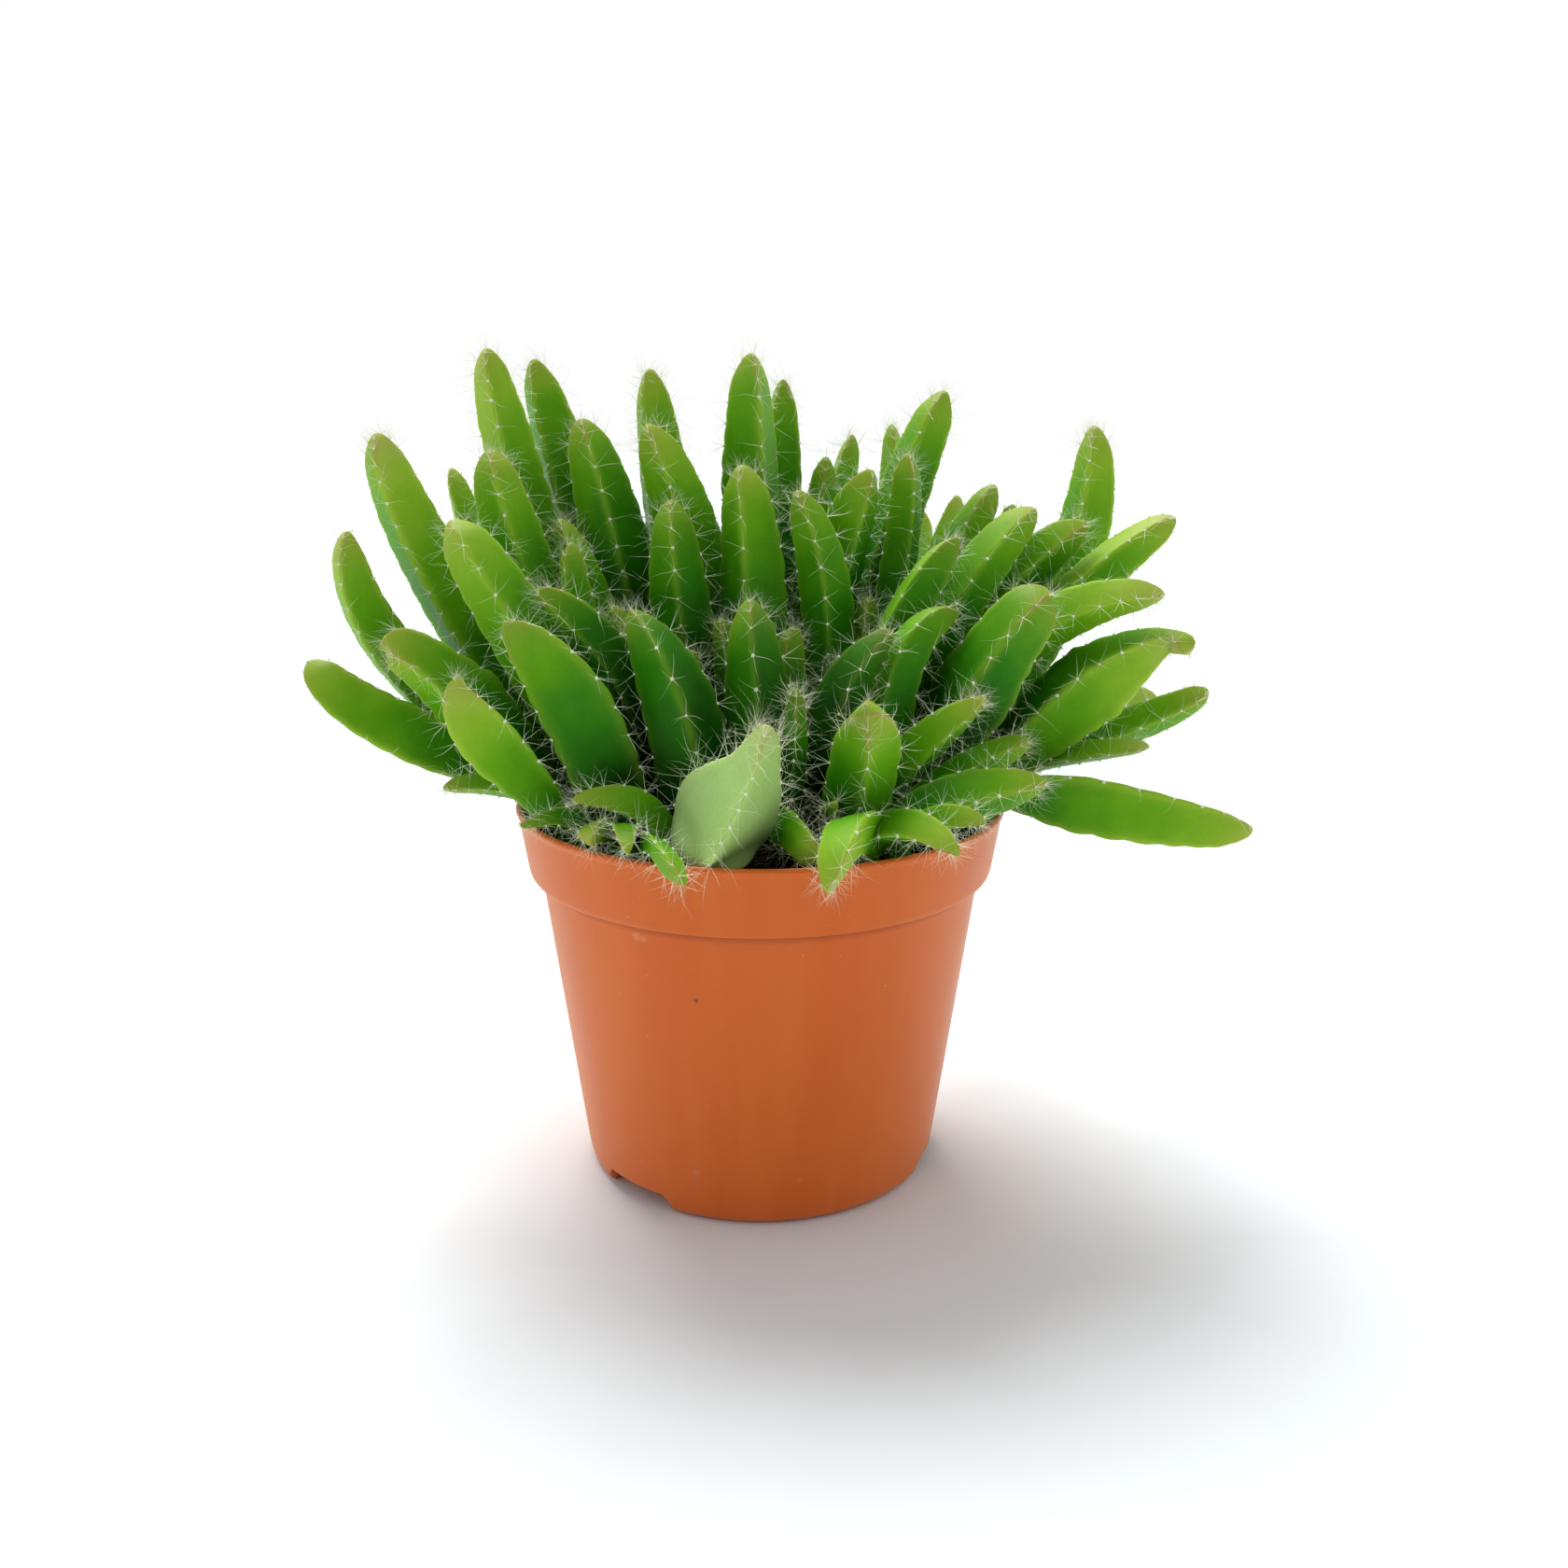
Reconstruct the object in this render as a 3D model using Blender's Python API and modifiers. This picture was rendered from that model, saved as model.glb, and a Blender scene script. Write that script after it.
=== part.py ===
# A potted dragon fruit cactus: a crowd of ribbed, spiny young stems in a plastic nursery pot.
#
# Frame: metres, +Z up, origin at the middle of the pot's underside. The front is at -Y and the
# right at +X. Sizes below are in millimetres and become metres where a mesh is made.
#
# Each plant has one foot in its own hole in the soil and one to three stems that part from it.
# A stem is a cubic curve that rises straight from its foot and passes an elbow to its tip.
# The places in PLANTS are where the tips are wanted. The stems then push one another aside.

import math
import random

import bmesh
import bpy
import numpy as np
from mathutils import Matrix, Vector

MM = 0.001

# The pot
POT_HEIGHT = 82.4
RIM_RADIUS = 52.5
BAND_HEIGHT = 14.6
BAND_FOOT_RADIUS = 50.3
WALL_TOP_RADIUS = 47.8
WALL_FOOT_RADIUS = 38.7
WALL = 1.2
FLOOR = 1.4
LIP_ROUND = 0.6
LIP_LINE = 1.4
STEP_FALL = 0.6
FLOOR_ROUND = 1.2
FOOT_ROUND = 3
POT_STEPS = 36
POT_CREASE_DEG = 35
CLEARANCE = 0.3

# The drain arches in the pot's foot, with the angle of the first from the front to the right
ARCH_COUNT = 3
ARCH_FIRST_DEG = -43.5
ARCH_WIDTH = 18.5
ARCH_HEIGHT = 4.2
ARCH_INNER_RADIUS = 28
ARCH_OUTER_RADIUS = 46
ARCH_ROUND = 1.6
HOUSING_RADIUS = 36.5
DRAIN_RADIUS = 2.6
DRAIN_PLACE = 33
DRAIN_SIDES = 10

# The soil and the plants' feet
SOIL_TOP = 78.4
FOOT_RADIUS = 2.1
FOOT_DEPTH = 5
FOOT_RISE = 0.6
FOOT_REACH = 50
FOOT_LIMIT = 45
NECK_GIRTH = 1.15
HOLE_SIDES = 6

# One list for each plant and one row for each of its stems: where its tip is wanted (x, y, z),
# its width across the ribs, the number of ribs, how far in degrees the nearest rib is turned from
# the front to the right, and how far its upper half leans from upright. A pair (x, y) at the head
# of a list is where the plant's foot is wanted. The others stand between the middle and their tips.
PLANTS = [
    [(-60, 25, 176, 11, 4, 5, 4), (-70, 38, 150, 8, 3, 10, 16)],
    [(-51, 32, 174, 14, 4, 28, 3)],
    [(-40, 22, 161, 14, 4, -5, 6)],
    [(-25, 34, 172, 13, 4, 32, 6)],
    [(-2, 30, 175, 14, 3, -15, 3), (5, 37, 170, 11, 4, 35, 6)],
    [(15, 26, 153, 8, 4, 0, 4), (22, 43, 157, 8, 3, 20, 6)],
    [(42, 32, 167, 13, 4, 20, 6), (30, 52, 159, 7, 3, 0, 8)],
    [(54, 30, 146, 10, 4, 25, 12), (48, 53, 142, 8, 3, 40, 18)],
    [(74, 28, 160, 12, 4, 30, 24)],
    [(32, 24, 154, 10, 4, -20, 6), (23, 4, 125, 9, 4, 10, 5)],
    [(-57, 10, 155, 13, 4, -8, 6)],
    [(-25, 14, 160, 14, 4, 2, 2)],
    [(-19, 8, 145, 13, 4, 0, 2)],
    [(-4, 8, 152, 15, 4, 15, 2)],
    [(6, 6, 147, 11, 4, 5, 2), (8, -2, 120, 9, 4, 20, 3), (16, -6, 114, 8, 4, 0, 5)],
    [(24, 12, 151, 15, 4, -22, 7)],
    [(43, 4, 137, 11, 4, 40, 9)],
    [(60, 14, 142, 12, 4, 10, 15)],
    [(-79, 2, 159, 14, 4, 15, 17)],
    [(-84, -6, 140, 12, 4, 25, 26)],
    [(-64, -2, 141, 15, 4, -10, 10)],
    [(-91, -8, 115, 12, 3, 20, 56), (-76, -18, 116, 14, 4, 0, 38)],
    [(-38, -14), (-56, -36, 115, 12, 3, 55, 14), (-63, -24, 92, 6, 3, 0, 95)],
    [(-31, -20), (-50, -28, 124, 16, 3, 60, 20)],
    [(-47, -12, 128, 12, 4, 12, 15)],
    [(-38, -23), (-50, -20, 86, 7, 3, 20, 96)],
    [(-21, -29), (-39, -30, 88, 8, 3, 10, 88)],
    [(-31, -31), (-31, -48, 83, 6, 3, 0, 108)],
    [(-27, -12, 125, 15, 4, -15, 3)],
    [(-14, -8, 116, 9, 4, 5, 3), (-9, 4, 121, 7, 3, 0, 3)],
    [(-2, -10, 127, 14, 4, 0, 3)],
    [(27, -18), (28, -14, 121, 12, 4, 0, 3)],
    [(34, -12), (42, -4, 122, 10, 4, 25, 10), (45, -20, 110, 11, 4, -5, 30)],
    [(6, -23), (7, -30, 112, 6, 5, 0, 6)],
    [(17, -29), (19, -44, 109, 13, 4, 0, 16), (16, -45, 92, 6, 3, 0, 60)],
    [(-44, 16, 140, 8, 4, 0, 6), (-39, 8, 136, 8, 4, 20, 6), (-34, -2, 123, 8, 4, 0, 6)],
    [(58, -14, 128, 16, 4, 22, 26)],
    [(71, 8, 139, 12, 4, 5, 15)],
    [(88, 6, 141, 10, 4, 30, 46), (84, -4, 126, 10, 4, 10, 62)],
    [(86, -12, 115, 16, 4, 35, 68), (82, -8, 95, 6, 3, 0, 84)],
    [(95, 0, 106, 8, 4, 0, 72), (80, 7, 96, 8, 4, 20, 84)],
    [(40, -10), (102, -18, 79.5, 14, 3, 50, 97)],
    [(27, -30), (56, -31, 94, 11, 4, 10, 84), (55, -22, 99, 8, 4, 0, 74)],
    [(32, -35), (43, -43, 88, 7, 3, 0, 90)],
    [(-11, -39), (1, -50, 109, 21, 3, 5, 8)],
    [(1, -32), (13, -59, 83, 9, 3, 35, 104)],
    [(11, -37), (12, -42, 89, 5, 4, 0, 30)],
    [(23, -35), (12, -63, 78, 10, 3, 0, 120), (37, -54, 84, 8, 3, 30, 102)],
    [(-18, -38), (-11, -57, 81, 7, 3, 20, 112)],
    [(-24, -36), (-20, -53, 84, 6, 3, 0, 108)],
]

# The plants behind, which a rule places
BACK_PLANTS = 7
BACK_STEMS = 3
BACK_SEED = 23
BACK_ARC_DEG = (14, 164)
BACK_SPREAD_DEG = 11
BACK_SCATTER_DEG = 4
BACK_SCATTER = 5
BACK_HEIGHT_SCATTER = 9
BACK_RIBS = (3, 4, 4)
BACK_REACH = (62, 92)
BACK_TIP_HEIGHT = (90, 138)
BACK_WIDTH = (10, 15)
BACK_LEAN = (18, 74)

# The run of a stem. Its share of the full radius is given at places from foot (0) to tip (1), and
# near the tip at distances back from it in widths.
LOWER_PLACES = (0.14, 0.32)
LOWER_GIRTHS = (0.72, 0.97)
MIDDLE_PLACE = 0.57
LONG_STEM = 52
SLIM_WIDTH = 8.5
TIP_BACK = (1.8, 0.45, 0.13)
TIP_GIRTHS = (0.93, 0.64, 0.34)
TIP_END_GIRTH = 0.1
TIP_SHARE_LIMIT = 0.6
TAPER_LIMIT = 0.58
ELBOW_BACK = 0.45
FOOT_LIFT = 9
FOOT_LIFT_SHARE = 0.35
POINTS_ALONG = 20
VALLEYS = {3: 0.5, 4: 0.68, 5: 0.8}
WIDTH_TO_RADIUS = {3: 0.56, 4: 0.54, 5: 0.5}

# How the stems push one another aside
PUSH_ROUNDS = 420
PUSH_STEP = 0.35
MOST_MOVE = 1.5
PRESS_ROUNDS = 12
STEM_GAP = 0.5
PRESS_GAP = 0.5
SOIL_GAP = 0.7
FOOT_GAP = 1.6
TIP_HOLD = (0.06, 0.015, 0.06)
ELBOW_HOLD = 0.01
LYING_LEAN_DEG = 80
LYING_HOLD = 0.05
FOOT_HOLD = 0.06

# Plants that lie just where they are wanted, and how high each rises before it bends
HELD_PLANTS = {42: 16, 43: 8, 45: 9}
HELD_HOLD = 0.4
SPLIT_PLACE = 0.4
LEAST_RADIUS = 1.3
BRANCH_FOOT = 0.6
BEND_SHARE = 0.8
PAIR_ROUNDS = 10
PAIR_MARGIN = 6
RIM_GAP = 1.1
RIM_PRESS_GAP = 0.6
RIM_LIFT = 0.4

# The spines that show from a step away. A spine leans from its rib towards the tip and aside by
# these shares of its reach.
SPINE_RADIUS = 0.22
SPINE_SIDES = 3
SPINE_LENGTH = (4, 6.5)
SPINE_SUNK = 0.9
SPINE_PLACES = (0.32, 0.52, 0.74)
SPINE_SHARE = 0.5
SPINE_LEAN = (-0.1, 0.5)
SPINE_ASIDE = (-0.45, 0.45)
TIP_SPINES = 2
TIP_SPINE_LEAN = 1.1
SPINE_SEED = 5
SPINE_GAP = 0.5
SPINE_CHECKS = 12
SPINE_RIM_GAP = 3.2
SPINE_TOP_GAP = 0.8

GREEN_DARK = (0.055, 0.17, 0.02)
GREEN_LIGHT = (0.18, 0.34, 0.03)
TERRACOTTA = (0.51, 0.12, 0.035)
PEAT = (0.013, 0.009, 0.006)
SKIN_ROUGHNESS = 0.5
POT_ROUGHNESS = 0.45
PEAT_ROUGHNESS = 0.95


def clear_scene():
    for thing in list(bpy.data.objects):
        bpy.data.objects.remove(thing, do_unlink=True)


def new_collection(name):
    collection = bpy.data.collections.new(name)
    bpy.context.scene.collection.children.link(collection)
    return collection


def new_object(name, mesh, collection):
    thing = bpy.data.objects.new(name, mesh)
    collection.objects.link(thing)
    return thing


def principled(name, colour, roughness):
    """A plain non-metal material."""
    material = bpy.data.materials.new(name)
    material.use_nodes = True
    shader = material.node_tree.nodes["Principled BSDF"]
    shader.inputs["Base Color"].default_value = (*colour, 1)
    shader.inputs["Roughness"].default_value = roughness
    shader.inputs["Metallic"].default_value = 0
    return material


def mesh_from(bm, name):
    mesh = bpy.data.meshes.new(name)
    bm.to_mesh(mesh)
    bm.free()
    return mesh


def applied_mesh(thing):
    """The mesh of an object with its modifiers applied."""
    graph = bpy.context.evaluated_depsgraph_get()
    return bpy.data.meshes.new_from_object(thing.evaluated_get(graph))


def apply_modifiers(thing):
    mesh = applied_mesh(thing)
    thing.modifiers.clear()
    thing.data = mesh


# Turned shapes

def turned(name, profile, collection):
    """A profile of (radius, height) points turned about the pot's axis."""
    bm = bmesh.new()
    points = [bm.verts.new((radius * MM, 0, height * MM)) for radius, height in profile]
    for first, second in zip(points, points[1:]):
        bm.edges.new((first, second))
    thing = new_object(name, mesh_from(bm, name), collection)
    screw = thing.modifiers.new("Turn", "SCREW")
    screw.steps = POT_STEPS
    screw.render_steps = POT_STEPS
    screw.use_merge_vertices = True
    screw.merge_threshold = 0.00001
    return thing


def radius_at(height):
    """The outer radius of the pot's wall, below its band."""
    share = height / (POT_HEIGHT - BAND_HEIGHT)
    return WALL_FOOT_RADIUS + (WALL_TOP_RADIUS - WALL_FOOT_RADIUS) * share


def band_radius_at(height):
    """The outer radius of the pot's rim band."""
    share = (height - POT_HEIGHT + BAND_HEIGHT) / BAND_HEIGHT
    return BAND_FOOT_RADIUS + (RIM_RADIUS - BAND_FOOT_RADIUS) * share


def pot_profile():
    """The wall from the floor's middle up the inside, over the lip and down the outside."""
    ledge = POT_HEIGHT - BAND_HEIGHT
    step = ledge - STEP_FALL
    line = POT_HEIGHT - LIP_LINE
    inside = [
        (0, FLOOR),
        (radius_at(FLOOR) - WALL - FLOOR_ROUND, FLOOR),
        (radius_at(FLOOR + FLOOR_ROUND) - WALL, FLOOR + FLOOR_ROUND),
        (radius_at(step) - WALL, ledge - STEP_FALL / 3),
        (BAND_FOOT_RADIUS - WALL, ledge + WALL),
        (band_radius_at(line) - WALL, line),
    ]
    lip = [
        (RIM_RADIUS - 2 * LIP_ROUND, POT_HEIGHT - LIP_ROUND),
        (RIM_RADIUS - LIP_ROUND, POT_HEIGHT),
        (RIM_RADIUS, POT_HEIGHT - LIP_ROUND),
        (band_radius_at(line), line),
    ]
    outside = [
        (BAND_FOOT_RADIUS, ledge + STEP_FALL),
        (BAND_FOOT_RADIUS - STEP_FALL, ledge),
        (radius_at(step), step),
        (radius_at(FOOT_ROUND), FOOT_ROUND),
        (radius_at(FOOT_ROUND) - FOOT_ROUND / 4, FOOT_ROUND / 3),
        (radius_at(FOOT_ROUND) - FOOT_ROUND * 0.8, 0),
        (0, 0),
    ]
    return inside + lip + outside


def soil_profile():
    """The fill, clear of the pot's wall and floor, open at the top and the foot."""
    ledge = POT_HEIGHT - BAND_HEIGHT
    inner = WALL + CLEARANCE
    floor = FLOOR + CLEARANCE
    return [
        (band_radius_at(SOIL_TOP) - inner, SOIL_TOP),
        (BAND_FOOT_RADIUS - inner, ledge + inner),
        (radius_at(ledge - STEP_FALL) - inner, ledge),
        (radius_at(floor + FLOOR_ROUND) - inner, floor + FLOOR_ROUND),
        (radius_at(floor) - inner - FLOOR_ROUND, floor),
    ]


def arch_places():
    """A turn about the axis for each drain arch, from the front."""
    for number in range(ARCH_COUNT):
        angle = math.radians(ARCH_FIRST_DEG + number * 360 / ARCH_COUNT)
        yield Matrix.Rotation(angle, 4, "Z")


def arch_block(name, margin, low, high, inner, outer, collection):
    """One box at each drain arch, its upper edges bevelled into an arch."""
    bm = bmesh.new()
    size = Vector((ARCH_WIDTH + 2 * margin, outer - inner, high - low)) * MM
    middle = Vector((0, -(inner + outer) / 2, (low + high) / 2)) * MM
    for turn in arch_places():
        place = turn @ Matrix.Translation(middle) @ Matrix.Diagonal((*size, 1))
        bmesh.ops.create_cube(bm, size=1, matrix=place)
    upper = [edge for edge in bm.edges if is_long_top_edge(edge, high * MM)]
    bmesh.ops.bevel(bm, geom=upper, offset=ARCH_ROUND * MM, segments=2, affect="EDGES", profile=0.5)
    return new_object(name, mesh_from(bm, name), collection)


def is_long_top_edge(edge, top):
    """True for an edge at the top of a box that runs in towards the pot's axis."""
    first, second = (vert.co for vert in edge.verts)
    at_top = min(first.z, second.z) > top - CLEARANCE * MM
    return at_top and abs(first.to_2d().length - second.to_2d().length) > MM


def arch_holes(name, collection):
    """A round drain hole through the roof of each arch."""
    bm = bmesh.new()
    depth = 2 * (ARCH_HEIGHT + WALL)
    for turn in arch_places():
        place = turn @ Matrix.Translation((0, -DRAIN_PLACE * MM, ARCH_HEIGHT * MM))
        bmesh.ops.create_cone(
            bm,
            cap_ends=True,
            segments=DRAIN_SIDES,
            radius1=DRAIN_RADIUS * MM,
            radius2=DRAIN_RADIUS * MM,
            depth=depth * MM,
            matrix=place,
        )
    return new_object(name, mesh_from(bm, name), collection)


def add_boolean(thing, label, operation, cutter):
    boolean = thing.modifiers.new(label, "BOOLEAN")
    boolean.operation = operation
    boolean.solver = "EXACT"
    boolean.object = cutter


def make_helper(thing):
    thing.hide_render = True
    thing.display_type = "WIRE"


def make_pot(parts, cutters):
    pot = turned("pot", pot_profile(), parts)
    roof = ARCH_HEIGHT + WALL
    behind = ARCH_INNER_RADIUS - WALL
    housings = arch_block("arch_housings", WALL, WALL / 2, roof, behind, HOUSING_RADIUS, cutters)
    openings = arch_block(
        "arch_openings", 0, -WALL, ARCH_HEIGHT, ARCH_INNER_RADIUS, ARCH_OUTER_RADIUS, cutters
    )
    drains = arch_holes("arch_drains", cutters)
    add_boolean(pot, "Arch housings", "UNION", housings)
    add_boolean(pot, "Arch openings", "DIFFERENCE", openings)
    add_boolean(pot, "Arch drains", "DIFFERENCE", drains)
    for helper in (housings, openings, drains):
        make_helper(helper)
    pot.data.materials.append(principled("terracotta plastic", TERRACOTTA, POT_ROUGHNESS))
    apply_modifiers(pot)
    pot.data.shade_smooth()
    pot.data.set_sharp_from_angle(angle=math.radians(POT_CREASE_DEG))


def foot_holes(feet, collection):
    """A plain hole in the soil for the foot of each plant, a little wider than its peg."""
    bm = bmesh.new()
    reach = (FOOT_RADIUS + CLEARANCE) / math.cos(math.pi / HOLE_SIDES)
    depth = FOOT_DEPTH + CLEARANCE
    for x, y in feet:
        # The cutter stands as far above the soil as it goes down
        bmesh.ops.create_cone(
            bm,
            cap_ends=True,
            segments=HOLE_SIDES,
            radius1=reach * MM,
            radius2=reach * MM,
            depth=2 * depth * MM,
            matrix=Matrix.Translation(Vector((x, y, SOIL_TOP)) * MM),
        )
    return new_object("foot_holes", mesh_from(bm, "foot_holes"), collection)


def make_soil(feet, parts, cutters):
    soil = turned("soil", soil_profile(), parts)
    apply_modifiers(soil)
    bm = bmesh.new()
    bm.from_mesh(soil.data)
    bmesh.ops.holes_fill(bm, edges=bm.edges, sides=0)
    bmesh.ops.recalc_face_normals(bm, faces=bm.faces)
    bm.to_mesh(soil.data)
    bm.free()

    margin = WALL + CLEARANCE
    behind = ARCH_INNER_RADIUS - margin
    rooms = arch_block(
        "arch_rooms", margin, 0, ARCH_HEIGHT + margin, behind, ARCH_OUTER_RADIUS, cutters
    )
    holes = foot_holes(feet, cutters)
    add_boolean(soil, "Arch rooms", "DIFFERENCE", rooms)
    add_boolean(soil, "Foot holes", "DIFFERENCE", holes)
    make_helper(rooms)
    make_helper(holes)
    soil.data.materials.append(principled("peat", PEAT, PEAT_ROUGHNESS))
    apply_modifiers(soil)


# Where the stems stand and bend

def between(ends, share):
    return ends[0] + (ends[1] - ends[0]) * share


def back_plants():
    """The plants that the view from the front doesn't show, fanned out behind."""
    draw = random.Random(BACK_SEED)
    plants = []
    for number in range(BACK_PLANTS):
        middle = between(BACK_ARC_DEG, (number + 0.5) / BACK_PLANTS)
        stems = []
        for place in range(BACK_STEMS):
            spread = (place - (BACK_STEMS - 1) / 2) * BACK_SPREAD_DEG
            angle = math.radians(middle + spread + draw.uniform(-BACK_SCATTER_DEG, BACK_SCATTER_DEG))
            rise = (place * 2 + number) % 3 / 2
            reach = between(BACK_REACH[::-1], rise) + draw.uniform(-BACK_SCATTER, BACK_SCATTER)
            height = between(BACK_TIP_HEIGHT, rise)
            height += draw.uniform(-BACK_HEIGHT_SCATTER, BACK_HEIGHT_SCATTER)
            width = draw.uniform(*BACK_WIDTH)
            ribs = draw.choice(BACK_RIBS)
            turn = draw.uniform(-180 / ribs, 180 / ribs)
            lean = between(BACK_LEAN[::-1], rise)
            tip = (reach * math.cos(angle), reach * math.sin(angle), height)
            stems.append((*tip, width, ribs, turn, lean))
        plants.append(stems)
    return plants


def ring_plan(length, width):
    """The places of a stem's rings, and its share of the full radius at each."""
    share = width / length
    near = min(share, TIP_SHARE_LIMIT)
    taper = max(1 - TIP_BACK[0] * share, TAPER_LIMIT)
    places = [0, LOWER_PLACES[0]]
    girths = [0, LOWER_GIRTHS[0]]
    if width > SLIM_WIDTH:
        places.append(LOWER_PLACES[1])
        girths.append(LOWER_GIRTHS[1])
    if length > LONG_STEM:
        places.append(MIDDLE_PLACE)
        girths.append(1)
    places += [taper, 1 - TIP_BACK[1] * near, 1 - TIP_BACK[2] * near, 1]
    girths += [*TIP_GIRTHS, TIP_END_GIRTH]
    return np.array(places, float), np.array(girths, float)


def curve_weights(places):
    """How much the foot, the point above it, the elbow and the tip each count at these places."""
    rest = 1 - places
    return np.stack([rest**3, 3 * places * rest**2, 3 * places**2 * rest, places**3], axis=-1)


def curve_runs(ends, places):
    """The way along the curve at these places, and the radius of its bend there."""
    steps = np.diff(ends, axis=0)
    bends = np.diff(steps, axis=0)
    share = places[:, None]
    rest = 1 - share
    speed = 3 * (rest**2 * steps[0] + 2 * share * rest * steps[1] + share**2 * steps[2])
    turning = 6 * (rest * bends[0] + share * bends[1])
    pace = np.linalg.norm(speed, axis=1)
    sideways = np.linalg.norm(np.cross(speed, turning), axis=1)
    return speed / pace[:, None], pace**3 / np.maximum(sideways, 1e-9)


class Crowd:
    """Every stem's foot, elbow and tip, and the radius along it."""

    def __init__(self, plants):
        rows = [
            (number, *stem) for number, plant in enumerate(plants) for stem in plant if len(stem) > 2
        ]
        table = np.array(rows, float)
        self.plant = table[:, 0].astype(int)
        self.tip = table[:, 1:4].copy()
        self.ribs = table[:, 5].astype(int)
        self.turn = np.radians(table[:, 6])
        self.radius = table[:, 4] * np.array([WIDTH_TO_RADIUS[ribs] for ribs in self.ribs])

        numbers = range(len(plants))
        means = np.array([self.tip[self.plant == number].mean(axis=0) for number in numbers])
        reach = np.hypot(means[:, 0], means[:, 1])
        share = FOOT_LIMIT * (1 - np.exp(-reach / FOOT_REACH)) / reach
        self.feet = means[:, :2] * share[:, None]
        for number, plant in enumerate(plants):
            if len(plant[0]) == 2:
                self.feet[number] = plant[0]

        # The elbow lies back from the tip along the way that the upper half leans
        span = self.tip - self.foot_points()
        length = np.linalg.norm(span, axis=1)
        flat = np.hypot(span[:, 0], span[:, 1])
        lean = np.radians(table[:, 7])
        sideways = span[:, :2] / flat[:, None] * np.sin(lean)[:, None]
        way = np.column_stack([sideways, np.cos(lean)])
        self.elbow = self.tip - way * ELBOW_BACK * length[:, None]
        self.lying = table[:, 7:] > LYING_LEAN_DEG

        # The points that push lie evenly between the rings, counted in rings
        self.lift = np.minimum(FOOT_LIFT, FOOT_LIFT_SHARE * length)
        for held, lift in HELD_PLANTS.items():
            self.lift[self.plant + 1 == held] = lift
        self.plans = [ring_plan(*pair) for pair in zip(length, table[:, 4])]
        self.place = np.zeros((len(table), POINTS_ALONG))
        self.girth = np.zeros_like(self.place)
        self.weights = np.zeros((len(table), POINTS_ALONG, 4))
        for number, (places, _) in enumerate(self.plans):
            rings = np.arange(len(places))
            counts = np.linspace(0, rings[-1], POINTS_ALONG)
            self.place[number] = np.interp(counts, rings, places)
            self.girth[number] = np.interp(counts, rings, self.ring_radii(number))
            for end, weight in enumerate(curve_weights(places).T):
                self.weights[number, :, end] = np.interp(counts, rings, weight)
        self.whole_girth = self.girth.copy()

    def foot_points(self):
        feet = self.feet[self.plant]
        return np.column_stack([feet, np.full(len(feet), SOIL_TOP + FOOT_RISE)])

    def curve_ends(self):
        """Each stem's foot, the point straight above it, its elbow and its tip."""
        feet = self.foot_points()
        above = feet + self.lift[:, None] * np.array([0, 0, 1.0])
        return np.stack([feet, above, self.elbow, self.tip], axis=1)

    def ring_radii(self, number):
        """The radius at each ring before any stem is pressed thinner."""
        radii = self.radius[number] * self.plans[number][1]
        radii[0] = FOOT_RADIUS
        radii[1] = max(radii[1], NECK_GIRTH * FOOT_RADIUS)
        return radii

    def samples(self):
        """Points along every stem, shaped (stems, points, 3)."""
        return np.einsum("spk,skc->spc", self.weights, self.curve_ends())

    def near_pairs(self, points):
        """The pairs of stems whose boxes come close enough to touch."""
        low = points.min(axis=1) - self.radius[:, None] - PAIR_MARGIN / 2
        high = points.max(axis=1) + self.radius[:, None] + PAIR_MARGIN / 2
        first, second = np.triu_indices(len(points), 1)
        apart = (low[first] > high[second]) | (low[second] > high[first])
        keep = ~apart.any(axis=1)
        return first[keep], second[keep]

    def push_between_stems(self, pairs, points, shift):
        first, second = pairs
        offset = points[first][:, :, None] - points[second][:, None]
        distance = np.linalg.norm(offset, axis=3) + 1e-9
        wanted = self.girth[first][:, :, None] + self.girth[second][:, None] + STEM_GAP
        overlap = np.maximum(0, wanted - distance)
        # Stems of one plant part only above the place where they split
        own = self.plant[first] == self.plant[second]
        upper = self.place > SPLIT_PLACE
        both = upper[first][:, :, None] & upper[second][:, None]
        overlap[own] *= both[own]
        push = offset / distance[..., None] * overlap[..., None] / 2
        np.add.at(shift, first, push.sum(axis=2))
        np.add.at(shift, second, -push.sum(axis=1))

    def rim_distance(self, points):
        """How far each point lies outside or inside the rim's ring, and above its top."""
        reach = np.hypot(points[..., 0], points[..., 1])
        aside = reach - (RIM_RADIUS - WALL / 2)
        above = np.maximum(0, points[..., 2] - POT_HEIGHT)
        return aside, above, np.hypot(aside, above) + 1e-9

    def push_from_pot(self, points, shift):
        """Keeps the stems above the soil and clear of the rim."""
        aside, above, distance = self.rim_distance(points)
        free = self.place > LOWER_PLACES[0] / 2
        sunk = SOIL_TOP + SOIL_GAP + self.girth - points[..., 2]
        shift[..., 2] += np.where((aside < 0) & free, np.maximum(0, sunk), 0)
        overlap = np.maximum(0, self.girth + WALL / 2 + RIM_GAP - distance)
        beside = (above == 0) & (overlap > 0)
        shift[..., 2] += above / distance * overlap + np.where(beside, RIM_LIFT, 0)
        reach = np.linalg.norm(points[..., :2], axis=-1, keepdims=True) + 1e-9
        shift[..., :2] += points[..., :2] / reach * (aside / distance * overlap)[..., None]

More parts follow.
